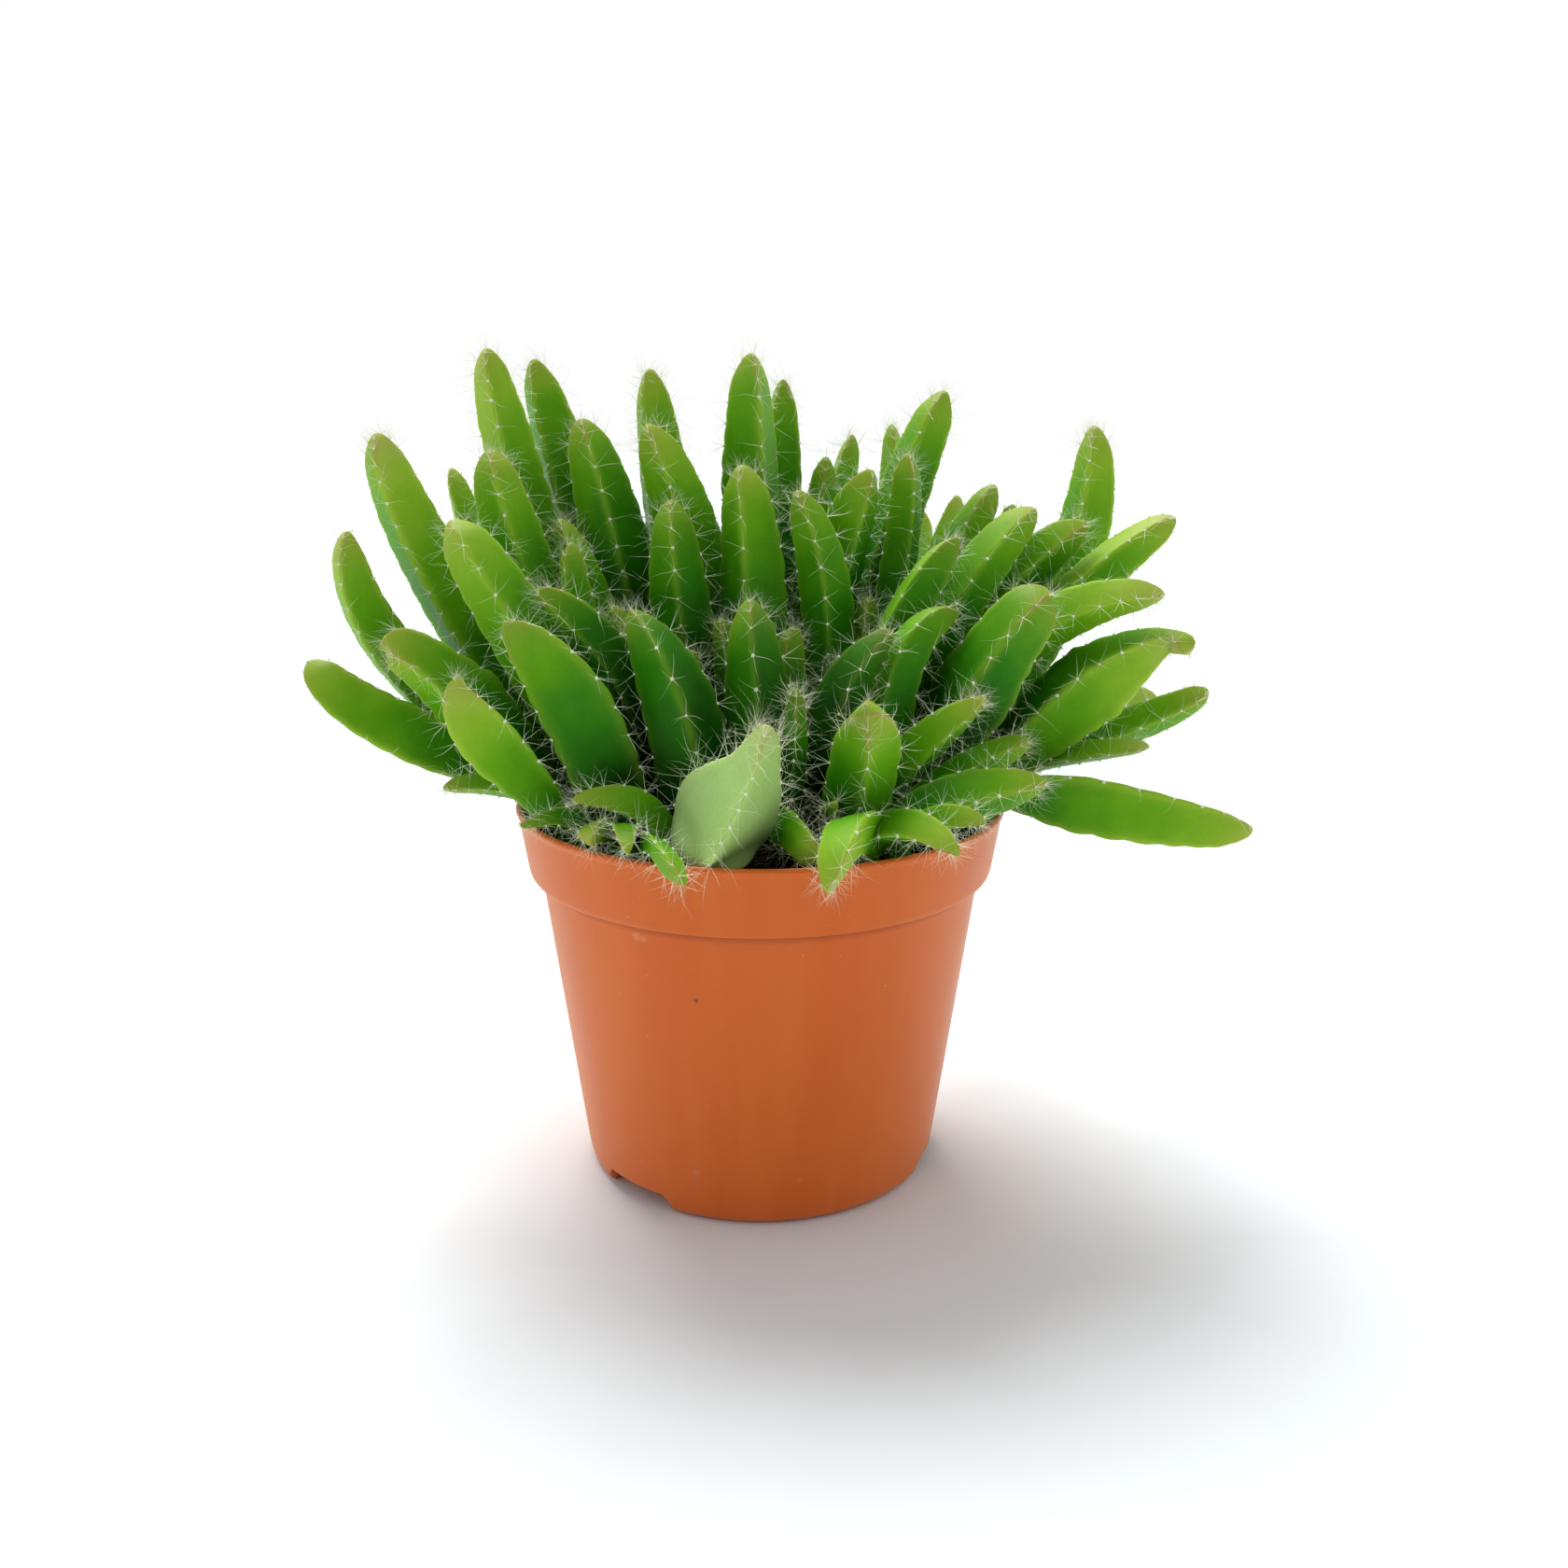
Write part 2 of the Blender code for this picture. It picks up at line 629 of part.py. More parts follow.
    def push_feet_apart(self):
        offset = self.feet[:, None] - self.feet[None]
        distance = np.linalg.norm(offset, axis=2) + np.eye(len(self.feet)) * 1e6
        wanted = 2 * (FOOT_RADIUS + CLEARANCE) / math.cos(math.pi / HOLE_SIDES) + FOOT_GAP
        overlap = np.maximum(0, wanted - distance)
        self.feet += (offset / distance[..., None] * overlap[..., None]).sum(axis=1) / 2
        reach = np.hypot(*self.feet.T)
        self.feet *= np.minimum(1, FOOT_LIMIT / np.maximum(reach, 1e-9))[:, None]

    def settle(self):
        """Moves feet, elbows and tips until the stems stand clear of one another."""
        wanted_tip = self.tip.copy()
        wanted_elbow = self.elbow.copy()
        wanted_feet = self.feet.copy()
        held = np.isin(np.arange(len(self.feet)) + 1, list(HELD_PLANTS))[:, None]
        tip_hold = np.where(held[self.plant], HELD_HOLD, np.array(TIP_HOLD))
        elbow_hold = np.where(self.lying, LYING_HOLD, ELBOW_HOLD)
        elbow_hold = np.where(held[self.plant], HELD_HOLD, elbow_hold)
        foot_hold = np.where(held, HELD_HOLD, FOOT_HOLD)
        for number in range(PUSH_ROUNDS):
            points = self.samples()
            if number % PAIR_ROUNDS == 0:
                pairs = self.near_pairs(points)
            shift = np.zeros_like(points)
            self.push_between_stems(pairs, points, shift)
            self.push_from_pot(points, shift)
            moves = np.einsum("spk,spc->skc", self.weights, shift) * PUSH_STEP
            largest = np.linalg.norm(moves, axis=2, keepdims=True)
            moves *= np.minimum(1, MOST_MOVE / np.maximum(largest, 1e-9))
            np.add.at(self.feet, self.plant, moves[:, 0, :2] + moves[:, 1, :2])
            self.elbow += moves[:, 2]
            self.tip += moves[:, 3]
            self.tip += (wanted_tip - self.tip) * tip_hold
            self.elbow += (wanted_elbow - self.elbow) * elbow_hold
            self.feet += (wanted_feet - self.feet) * foot_hold
            self.push_feet_apart()

    def press_thinner(self):
        """Where two plants still touch, both stems are pressed thinner there, as by the rim."""
        points = self.samples()
        _, _, distance = self.rim_distance(points)
        room = distance - WALL / 2 - RIM_PRESS_GAP
        self.girth = np.minimum(self.girth, np.maximum(room, LEAST_RADIUS))
        first, second = self.near_pairs(points)
        other = self.plant[first] != self.plant[second]
        first = first[other]
        second = second[other]
        offset = points[first][:, :, None] - points[second][:, None]
        distance = np.linalg.norm(offset, axis=3)
        for _ in range(PRESS_ROUNDS):
            wanted = self.girth[first][:, :, None] + self.girth[second][:, None] + PRESS_GAP
            overlap = np.maximum(0, wanted - distance) / 2
            cut = np.zeros_like(self.girth)
            np.maximum.at(cut, first, overlap.max(axis=2))
            np.maximum.at(cut, second, overlap.max(axis=1))
            self.girth = np.maximum(self.girth - cut, LEAST_RADIUS)

    def stem(self, number):
        """The ring centres of a stem, the radii and the ways along it, from its foot to its tip."""
        places, _ = self.plans[number]
        ends = self.curve_ends()[number]
        centres = curve_weights(places) @ ends
        runs, bend = curve_runs(ends, places)
        # A ring is no wider than the narrowest place that the crowd leaves beside it, or its bend
        pressed = np.pad(self.girth[number] / self.whole_girth[number], 1, mode="edge")
        narrow = np.min([pressed[k : k + POINTS_ALONG] for k in range(3)], axis=0)
        radii = self.ring_radii(number) * np.interp(places, self.place[number], narrow)
        return centres, np.minimum(radii, BEND_SHARE * bend), runs


def build_crowd():
    crowd = Crowd(PLANTS + back_plants())
    crowd.settle()
    crowd.press_thinner()
    return crowd


# The stems

def ways_across(runs, turn):
    """Two ways across a stem at each ring, the first towards a rib, carried up it untwisted."""
    facing = np.zeros_like(runs)
    last = np.array([0, -1.0, 0])
    for ring, run in enumerate(runs):
        last = last - run * (last @ run)
        last = last / np.linalg.norm(last)
        facing[ring] = last
    aside = np.cross(runs, facing)
    across = facing * math.cos(turn) - aside * math.sin(turn)
    return across, np.cross(runs, across)


def add_stem(bm, crowd, number, rooted):
    """One ribbed stem as rings of points, two for each rib. A rooted one has a peg in the soil."""
    centres, radii, runs = crowd.stem(number)
    across, aside = ways_across(runs, float(crowd.turn[number]))
    if rooted:
        peg = centres[0] - np.array([0, 0, FOOT_DEPTH + FOOT_RISE])
        centres = np.vstack([peg, centres])
        radii = np.concatenate([radii[:1], radii])
        across = np.vstack([across[:1], across])
        aside = np.vstack([aside[:1], aside])
    else:
        radii[0] *= BRANCH_FOOT

    ribs = int(crowd.ribs[number])
    round_rings = 2 if rooted else 1
    loops = []
    for ring in range(len(centres) - 1):
        valley = 1 if ring < round_rings else VALLEYS[ribs]
        loop = []
        for corner in range(2 * ribs):
            reach = radii[ring] * (valley if corner % 2 else 1)
            angle = corner * math.pi / ribs
            arm = across[ring] * math.cos(angle) + aside[ring] * math.sin(angle)
            loop.append(bm.verts.new((centres[ring] + arm * reach) * MM))
        loops.append(loop)
    tip = bm.verts.new(centres[-1] * MM)
    bm.faces.new(reversed(loops[0]))
    for lower, upper in zip(loops, loops[1:]):
        for corner in range(2 * ribs):
            after = (corner + 1) % (2 * ribs)
            bm.faces.new((lower[corner], lower[after], upper[after], upper[corner]))
    for corner in range(2 * ribs):
        bm.faces.new((loops[-1][corner], loops[-1][(corner + 1) % (2 * ribs)], tip))


def spine_places(crowd, number, draw):
    """The places along a stem and the ribs where spines are tried."""
    ribs = int(crowd.ribs[number])
    places, _ = crowd.plans[number]
    along = [(place, draw.randrange(ribs)) for place in SPINE_PLACES if draw.random() < SPINE_SHARE]
    return along + [(places[-2], spine * ribs // TIP_SPINES) for spine in range(TIP_SPINES)]


def spine_rows(crowd):
    """Start, end and stem of each spine that reaches nothing but air."""
    draw = random.Random(SPINE_SEED)
    samples = crowd.samples()
    kept = []
    for number in range(len(crowd.plant)):
        centres, radii, runs = crowd.stem(number)
        across, aside = ways_across(runs, float(crowd.turn[number]))
        places, _ = crowd.plans[number]
        for place, rib in spine_places(crowd, number, draw):
            ring = float(np.interp(place, places, range(len(places))))
            low = min(int(ring), len(places) - 2)
            centre, radius, run, first_way, second_way = (
                between(values[low : low + 2], ring - low)
                for values in (centres, radii, runs, across, aside)
            )
            angle = 2 * math.pi * rib / int(crowd.ribs[number])
            arm = first_way * math.cos(angle) + second_way * math.sin(angle)
            lean = TIP_SPINE_LEAN if place == places[-2] else draw.uniform(*SPINE_LEAN)
            way = arm + run * lean + np.cross(run, arm) * draw.uniform(*SPINE_ASIDE)
            way /= np.linalg.norm(way)
            base = centre + arm * radius
            end = base + way * draw.uniform(*SPINE_LENGTH)
            if spine_is_clear(base, end, number, crowd, samples, kept):
                kept.append((base - arm * SPINE_SUNK, end, number))
    return kept


def spine_is_clear(base, end, number, crowd, samples, kept):
    """True where a spine stays off every other stem, the soil, the pot and the spines kept so far."""
    steps = np.linspace(0, 1, SPINE_CHECKS)[:, None]
    points = base + (end - base) * steps
    others = np.arange(len(crowd.plant)) != number
    apart = np.linalg.norm(points[:, None, None] - samples[others][None], axis=3)
    if (apart - crowd.girth[others][None]).min() < SPINE_GAP:
        return False
    reach = np.hypot(points[:, 0], points[:, 1])
    near_rim = np.abs(reach - RIM_RADIUS + WALL) < SPINE_RIM_GAP
    if (near_rim & (points[:, 2] < POT_HEIGHT + SPINE_TOP_GAP)).any():
        return False
    if points[:, 2].min() < SOIL_TOP + SOIL_GAP:
        return False
    for other_start, other_end, _ in kept:
        other = other_start + (other_end - other_start) * steps
        if np.linalg.norm(points[:, None] - other[None], axis=2).min() < 2 * SPINE_RADIUS + CLEARANCE:
            return False
    return True


def add_spine(bm, start, end):
    """A three-sided spine, its foot sunk in the stem."""
    start = Vector(start) * MM
    end = Vector(end) * MM
    way = end - start
    place = Matrix.Translation((start + end) / 2) @ way.to_track_quat("Z", "Y").to_matrix().to_4x4()
    bmesh.ops.create_cone(
        bm,
        cap_ends=True,
        segments=SPINE_SIDES,
        radius1=SPINE_RADIUS * MM,
        radius2=0,
        depth=way.length,
        matrix=place,
    )


def joined(name, first, others, collection):
    """One object from the first mesh and a Boolean union with the others."""
    thing = new_object(name, first, collection)
    helpers = bpy.data.collections.new(name + "_repeats")
    bpy.context.scene.collection.children.link(helpers)
    for number, mesh in enumerate(others):
        new_object(f"{name}_repeat_{number}", mesh, helpers)
    union = thing.modifiers.new("Repeats", "BOOLEAN")
    union.operation = "UNION"
    union.operand_type = "COLLECTION"
    union.solver = "EXACT"
    union.collection = helpers
    apply_modifiers(thing)
    for helper in list(helpers.objects):
        bpy.data.objects.remove(helper, do_unlink=True)
    bpy.data.collections.remove(helpers)
    return thing


def plant_meshes(crowd, plant, spines):
    """The stems of one plant and then their spines, a mesh for each."""
    stems = [int(number) for number in np.flatnonzero(crowd.plant == plant)]
    for number in stems:
        bm = bmesh.new()
        add_stem(bm, crowd, number, rooted=number == stems[0])
        bmesh.ops.recalc_face_normals(bm, faces=bm.faces)
        yield mesh_from(bm, "stem")
    for start, end, number in spines:
        if number in stems:
            bm = bmesh.new()
            add_spine(bm, start, end)
            yield mesh_from(bm, "spine")


def make_plants(crowd, parts):
    spines = spine_rows(crowd)
    draw = random.Random(SPINE_SEED)
    for plant in range(crowd.plant.max() + 1):
        name = f"plant_{plant + 1:02d}"
        first, *others = plant_meshes(crowd, plant, spines)
        thing = joined(name, first, others, parts)
        share = draw.random()
        colour = [between(pair, share) for pair in zip(GREEN_DARK, GREEN_LIGHT)]
        thing.data.materials.clear()
        thing.data.materials.append(principled(name + " skin", colour, SKIN_ROUGHNESS))


def build():
    clear_scene()
    parts = new_collection("potted_dragon_fruit_cactus")
    cutters = new_collection("cutters")
    crowd = build_crowd()
    make_pot(parts, cutters)
    make_soil(crowd.feet, parts, cutters)
    make_plants(crowd, parts)


build()
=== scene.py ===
# A potted dragon fruit cactus: finer pot, soil, ribbed stems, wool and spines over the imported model.
# Lengths below are in millimetres until a mesh is made. The front faces -Y and +Z is up.
import math
import random

import bpy
import numpy as np
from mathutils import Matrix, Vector


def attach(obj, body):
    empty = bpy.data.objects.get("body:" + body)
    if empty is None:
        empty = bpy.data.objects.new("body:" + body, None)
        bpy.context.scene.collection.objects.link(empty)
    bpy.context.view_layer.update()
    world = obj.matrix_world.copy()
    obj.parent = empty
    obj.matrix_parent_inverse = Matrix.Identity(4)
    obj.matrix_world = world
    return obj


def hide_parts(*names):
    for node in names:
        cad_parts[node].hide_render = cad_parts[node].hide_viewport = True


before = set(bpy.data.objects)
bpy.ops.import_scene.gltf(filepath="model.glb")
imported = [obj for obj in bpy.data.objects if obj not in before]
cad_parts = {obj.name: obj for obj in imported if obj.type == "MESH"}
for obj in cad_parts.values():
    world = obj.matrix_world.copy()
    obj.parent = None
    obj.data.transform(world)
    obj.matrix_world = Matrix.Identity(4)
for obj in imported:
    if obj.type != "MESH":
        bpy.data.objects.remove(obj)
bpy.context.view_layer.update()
print("frame loaded:", len(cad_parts), "nodes")

mm = 0.001


# Small tools

def linear(hexColour):
    # each channel c of an sRGB hex: c/12.92 up to 0.04045, else ((c + 0.055) / 1.055) ** 2.4
    shares = [int(hexColour[k:k + 2], 16) / 255 for k in (1, 3, 5)]
    return tuple(c / 12.92 if c <= 0.04045 else ((c + 0.055) / 1.055) ** 2.4 for c in shares) + (1.0,)


def feed(tree, node, inputs):
    # for each input a link from a socket, or a plain value
    for key, value in inputs.items():
        if isinstance(value, bpy.types.NodeSocket):
            tree.links.new(value, node.inputs[key])
        else:
            node.inputs[key].default_value = value


def addNode(tree, kind, inputs=None, settings=None, output=0):
    # one node with its settings and inputs; gives back the output that other nodes read
    node = tree.nodes.new("ShaderNode" + kind)
    for name, value in (settings or {}).items():
        setattr(node, name, value)
    feed(tree, node, inputs or {})
    return node.outputs[output]


multiply = {"operation": "MULTIPLY"}
multiplyAdd = {"operation": "MULTIPLY_ADD"}
colourMix = {"data_type": "RGBA"}
floatMix = {"data_type": "FLOAT"}


def newMaterial(name, roughness, ior=1.5):
    material = bpy.data.materials.new(name)
    material.use_nodes = True
    shader = material.node_tree.nodes["Principled BSDF"]
    feed(material.node_tree, shader, {"Roughness": roughness, "IOR": ior, "Metallic": 0.0})
    return material, material.node_tree, shader


def rampStops(node, stops):
    # stops: list of (place, hex colour) for a colour ramp
    ramp = node.color_ramp
    while len(ramp.elements) < len(stops):
        ramp.elements.new(0.5)
    for element, (place, colour) in zip(ramp.elements, stops):
        element.position = place
        element.color = linear(colour)


def unit(vectors):
    return vectors / (np.linalg.norm(vectors, axis=-1, keepdims=True) + 1e-12)


def waysAbout(first, second, angles):
    # first cos a + second sin a for every angle a, which become the axis before the last
    angles = angles[:, None]
    return first[..., None, :] * np.cos(angles) + second[..., None, :] * np.sin(angles)


def squareTo(vectors, ways):
    # the part of each vector that is square to a unit way
    return vectors - ways * np.einsum("ij,ij->i", vectors, ways)[:, None]


def gridFaces(rows, columns):
    # quads of a sheet of rows x columns points whose columns close into a ring
    row = np.arange(rows - 1)[:, None] * columns
    here = np.arange(columns)[None]
    after = (here + 1) % columns
    quads = np.stack([row + here, row + after, row + columns + after, row + columns + here], axis=-1)
    return quads.reshape(-1, 4)


def fanFaces(ring, pole, outward=True):
    # triangles from one ring of point numbers to a pole point
    after = np.roll(ring, -1)
    tip = np.full(len(ring), pole)
    return np.stack([ring, after, tip] if outward else [after, ring, tip], axis=-1)


def tubeFaces(rows, columns):
    # a tube of rings, closed by a pole after the last ring and then one before the first
    ring = np.arange(columns)
    end = rows * columns
    triangles = np.vstack([fanFaces(ring + end - columns, end), fanFaces(ring, end + 1, False)])
    return gridFaces(rows, columns), triangles


def signedVolume(points, quads, triangles):
    # sum of a . (b x c) / 6 over all triangles
    corners = [triangles] if len(triangles) else []
    if len(quads):
        corners += [quads[:, [0, 1, 2]], quads[:, [0, 2, 3]]]
    corners = np.concatenate(corners)
    a, b, c = points[corners[:, 0]], points[corners[:, 1]], points[corners[:, 2]]
    return float(np.einsum("ij,ij->i", a, np.cross(b, c)).sum() / 6)


def makePiece(name, points, quads, triangles, material, slot, replaced=(), facts=None, smooth=True):
    # points in mm to a mesh that rides on the object's one body; facts are numbers for each point
    points = np.asarray(points, float)
    quads = np.asarray(quads, int).reshape(-1, 4)
    triangles = np.asarray(triangles, int).reshape(-1, 3)
    if signedVolume(points, quads, triangles) < 0:
        quads = quads[:, ::-1]
        triangles = triangles[:, ::-1]
    mesh = bpy.data.meshes.new(name)
    mesh.vertices.add(len(points))
    mesh.vertices.foreach_set("co", (points * mm).astype(np.float32).ravel())
    loops = np.concatenate([quads.ravel(), triangles.ravel()]).astype(np.int32)
    sizes = np.concatenate([np.full(len(quads), 4), np.full(len(triangles), 3)]).astype(np.int32)
    mesh.loops.add(len(loops))
    mesh.loops.foreach_set("vertex_index", loops)
    mesh.polygons.add(len(sizes))
    mesh.polygons.foreach_set("loop_start", np.concatenate([[0], np.cumsum(sizes)[:-1]]).astype(np.int32))
    mesh.polygons.foreach_set("use_smooth", np.full(len(sizes), smooth))
    for factName, values in (facts or {}).items():
        layer = mesh.attributes.new(factName, "FLOAT", "POINT")
        layer.data.foreach_set("value", np.asarray(values, np.float32))
    mesh.update(calc_edges=True)
    mesh.validate()
    mesh.materials.append(material)
    piece = bpy.data.objects.new(name, mesh)
    bpy.context.scene.collection.objects.link(piece)
    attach(piece, "root")
    if replaced:
        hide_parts(*replaced)
    return piece


def makeMany(name, shapes, quads, triangles, *looks, **more):
    # one piece of many like shapes: points as (shape, point, 3), and the faces of one shape
    starts = (np.arange(len(shapes)) * shapes.shape[1])[:, None, None]
    faces = [(np.reshape(rows, (-1, corners)).astype(int) + starts).reshape(-1, corners)
             for rows, corners in ((quads, 4), (triangles, 3))]
    makePiece(name, shapes.reshape(-1, 3), *faces, *looks, **more)


def smoothNoise(points, size, seed, octaves, waves=6):
    # sum over octaves of sin(k . p + phase) with random waves k, each octave half as long and half as high
    draw = np.random.default_rng(seed)
    total = np.zeros(len(points))
    for octave in range(octaves):
        length = size / 2 ** octave
        ways = draw.normal(size=(waves, 3))
        ways *= 2 * math.pi / length / np.linalg.norm(ways, axis=1, keepdims=True)
        ways *= draw.uniform(0.6, 1.4, (waves, 1))
        phases = draw.uniform(0, 2 * math.pi, waves)
        total += np.sin(points @ ways.T + phases).sum(axis=1) / waves / 2 ** octave
    return total


# Where the stems stand: the same table and rules as the solids

pot = {
    "height": 82.4, "rimRadius": 52.5, "bandHeight": 14.6, "bandFootRadius": 50.3,
    "wallTopRadius": 47.8, "wallFootRadius": 38.7, "wall": 1.2, "floor": 1.4, "stepFall": 0.6,
    "archFirstDeg": -43.5, "archTurnsDeg": (0, 120, 240), "archWidth": 18.5, "archHeight": 4.2,
    "archInnerRadius": 28, "archOuterRadius": 46, "archRound": 2.2, "drainRadius": 2.6, "drainPlace": 33,
    "drainSides": 32, "innerCorner": 1.2, "columns": 384,
}
soil = {"top": 78.4, "clearance": 0.3}

# tip x, y, z, width, ribs, turn of the nearest rib from the front, lean of the upper half;
# a leading pair is the plant's foot
plantTable = [
    [(-60, 25, 176, 11, 4, 5, 4), (-70, 38, 150, 8, 3, 10, 16)],
    [(-51, 32, 174, 14, 4, 28, 3)],
    [(-40, 22, 161, 14, 4, -5, 6)],
    [(-25, 34, 172, 13, 4, 32, 6)],
    [(-2, 30, 175, 14, 3, -15, 3), (5, 37, 170, 11, 4, 35, 6)],
    [(15, 26, 153, 8, 4, 0, 4), (22, 43, 157, 8, 3, 20, 6)],
    [(42, 32, 167, 13, 4, 20, 6), (30, 52, 159, 7, 3, 0, 8)],
    [(54, 30, 146, 10, 4, 25, 12), (48, 53, 142, 8, 3, 40, 18)],
    [(74, 28, 160, 12, 4, 30, 24)],
    [(32, 24, 154, 10, 4, -20, 6), (23, 4, 125, 9, 4, 10, 5)],
    [(-57, 10, 155, 13, 4, -8, 6)],
    [(-25, 14, 160, 14, 4, 2, 2)],
    [(-19, 8, 145, 13, 4, 0, 2)],
    [(-4, 8, 152, 15, 4, 15, 2)],
    [(6, 6, 147, 11, 4, 5, 2), (8, -2, 120, 9, 4, 20, 3), (16, -6, 114, 8, 4, 0, 5)],
    [(24, 12, 151, 15, 4, -22, 7)],
    [(43, 4, 137, 11, 4, 40, 9)],
    [(60, 14, 142, 12, 4, 10, 15)],
    [(-79, 2, 159, 14, 4, 15, 17)],
    [(-84, -6, 140, 12, 4, 25, 26)],
    [(-64, -2, 141, 15, 4, -10, 10)],
    [(-91, -8, 115, 12, 3, 20, 56), (-76, -18, 116, 14, 4, 0, 38)],
    [(-38, -14), (-56, -36, 115, 12, 3, 55, 14), (-63, -24, 92, 6, 3, 0, 95)],
    [(-31, -20), (-50, -28, 124, 16, 3, 60, 20)],
    [(-47, -12, 128, 12, 4, 12, 15)],
    [(-38, -23), (-50, -20, 86, 7, 3, 20, 96)],
    [(-21, -29), (-39, -30, 88, 8, 3, 10, 88)],
    [(-31, -31), (-31, -48, 83, 6, 3, 0, 108)],
    [(-27, -12, 125, 15, 4, -15, 3)],
    [(-14, -8, 116, 9, 4, 5, 3), (-9, 4, 121, 7, 3, 0, 3)],
    [(-2, -10, 127, 14, 4, 0, 3)],
    [(27, -18), (28, -14, 121, 12, 4, 0, 3)],
    [(34, -12), (42, -4, 122, 10, 4, 25, 10), (45, -20, 110, 11, 4, -5, 30)],
    [(6, -23), (7, -30, 112, 6, 5, 0, 6)],
    [(17, -29), (19, -44, 109, 13, 4, 0, 16), (16, -45, 92, 6, 3, 0, 60)],
    [(-44, 16, 140, 8, 4, 0, 6), (-39, 8, 136, 8, 4, 20, 6), (-34, -2, 123, 8, 4, 0, 6)],
    [(58, -14, 128, 16, 4, 22, 26)],
    [(71, 8, 139, 12, 4, 5, 15)],
    [(88, 6, 141, 10, 4, 30, 46), (84, -4, 126, 10, 4, 10, 62)],
    [(86, -12, 115, 16, 4, 35, 68), (82, -8, 95, 6, 3, 0, 84)],
    [(95, 0, 106, 8, 4, 0, 72), (80, 7, 96, 8, 4, 20, 84)],
    [(40, -10), (102, -18, 79.5, 14, 3, 50, 97)],
    [(27, -30), (56, -31, 94, 11, 4, 10, 84), (55, -22, 99, 8, 4, 0, 74)],
    [(32, -35), (43, -43, 88, 7, 3, 0, 90)],
    [(-11, -39), (1, -50, 109, 21, 3, 5, 8)],
    [(1, -32), (13, -59, 83, 9, 3, 35, 104)],
    [(11, -37), (12, -42, 89, 5, 4, 0, 30)],
    [(23, -35), (12, -63, 78, 10, 3, 0, 120), (37, -54, 84, 8, 3, 30, 102)],
    [(-18, -38), (-11, -57, 81, 7, 3, 20, 112)],
    [(-24, -36), (-20, -53, 84, 6, 3, 0, 108)],
]

backRow = {
    "plants": 7, "stems": 3, "seed": 23, "arcDeg": (14, 164), "spreadDeg": 11,
    "ribs": (3, 4, 4), "reach": (62, 92), "tipHeight": (90, 138), "width": (10, 15), "lean": (18, 74),
    # most that a stem strays from its angle in degrees, its reach and its height
    "scatter": (4, 5, 9),
}

growth = {
    "footRadius": 2.1, "footDepth": 5, "footRise": 0.6, "footReach": 50, "footLimit": 45, "neck": 1.15,
    "holeSides": 6, "lowerPlaces": (0.14, 0.32), "lowerGirths": (0.72, 0.97), "middlePlace": 0.57,
    "longStem": 52, "slimWidth": 8.5, "tipBack": (1.8, 0.45, 0.13), "tipGirths": (0.93, 0.64, 0.34),
    "tipEndGirth": 0.1, "tipShareLimit": 0.6, "taperLimit": 0.58, "elbowBack": 0.45, "footLift": 9,
    "footLiftShare": 0.35, "pointsAlong": 20, "widthToRadius": {3: 0.56, 4: 0.54, 5: 0.5},
    "pushRounds": 420, "pushStep": 0.35, "mostMove": 1.5, "pressRounds": 12, "stemGap": 0.5,
    "pressGap": 0.5, "soilGap": 0.7, "footGap": 1.6, "tipHold": (0.06, 0.015, 0.06), "elbowHold": 0.01,
    "footHold": 0.06, "lyingLeanDeg": 80, "lyingHold": 0.05, "splitPlace": 0.4, "leastRadius": 1.3,
    "branchFoot": 0.6, "bendShare": 0.8, "pairRounds": 10, "pairMargin": 6, "rimGap": 1.1,
    "rimPressGap": 0.6, "rimLift": 0.4,
    # these plants lie just where they are wanted, after this lift
    "heldPlants": {42: 16, 43: 8, 45: 9}, "heldHold": 0.4,
}


def between(ends, share):
    return ends[0] + (ends[1] - ends[0]) * share


def backPlants():
    # the plants that the front doesn't show, fanned out behind by a seeded rule
    draw = random.Random(backRow["seed"])
    plants = []
    for number in range(backRow["plants"]):
        middle = between(backRow["arcDeg"], (number + 0.5) / backRow["plants"])
        stems = []
        for place in range(backRow["stems"]):
            spread = (place - (backRow["stems"] - 1) / 2) * backRow["spreadDeg"]
            stray, farther, higher = [draw.uniform(-most, most) for most in backRow["scatter"]]
            angle = math.radians(middle + spread + stray)
            rise = (place * 2 + number) % 3 / 2
            reach = between(backRow["reach"][::-1], rise) + farther
            height = between(backRow["tipHeight"], rise) + higher
            width = draw.uniform(*backRow["width"])
            ribs = draw.choice(backRow["ribs"])
            turn = draw.uniform(-180 / ribs, 180 / ribs)
            lean = between(backRow["lean"][::-1], rise)
            stems.append((reach * math.cos(angle), reach * math.sin(angle), height, width, ribs, turn, lean))
        plants.append(stems)
    return plants


def ringPlan(length, width):
    # places of the rings from foot (0) to tip (1), and the share of the full radius at each
    share = width / length
    near = min(share, growth["tipShareLimit"])
    taper = max(1 - growth["tipBack"][0] * share, growth["taperLimit"])
    places = [0, growth["lowerPlaces"][0]]
    girths = [0, growth["lowerGirths"][0]]
    if width > growth["slimWidth"]:
        places.append(growth["lowerPlaces"][1])
        girths.append(growth["lowerGirths"][1])
    if length > growth["longStem"]:
        places.append(growth["middlePlace"])
        girths.append(1)
    places += [taper, 1 - growth["tipBack"][1] * near, 1 - growth["tipBack"][2] * near, 1]
    girths += [*growth["tipGirths"], growth["tipEndGirth"]]
    return np.array(places, float), np.array(girths, float)


def curveWeights(places):
    # cubic Bernstein weights of the foot, the point above it, the elbow and the tip
    rest = 1 - places
    return np.stack([rest ** 3, 3 * places * rest ** 2, 3 * places ** 2 * rest, places ** 3], axis=-1)


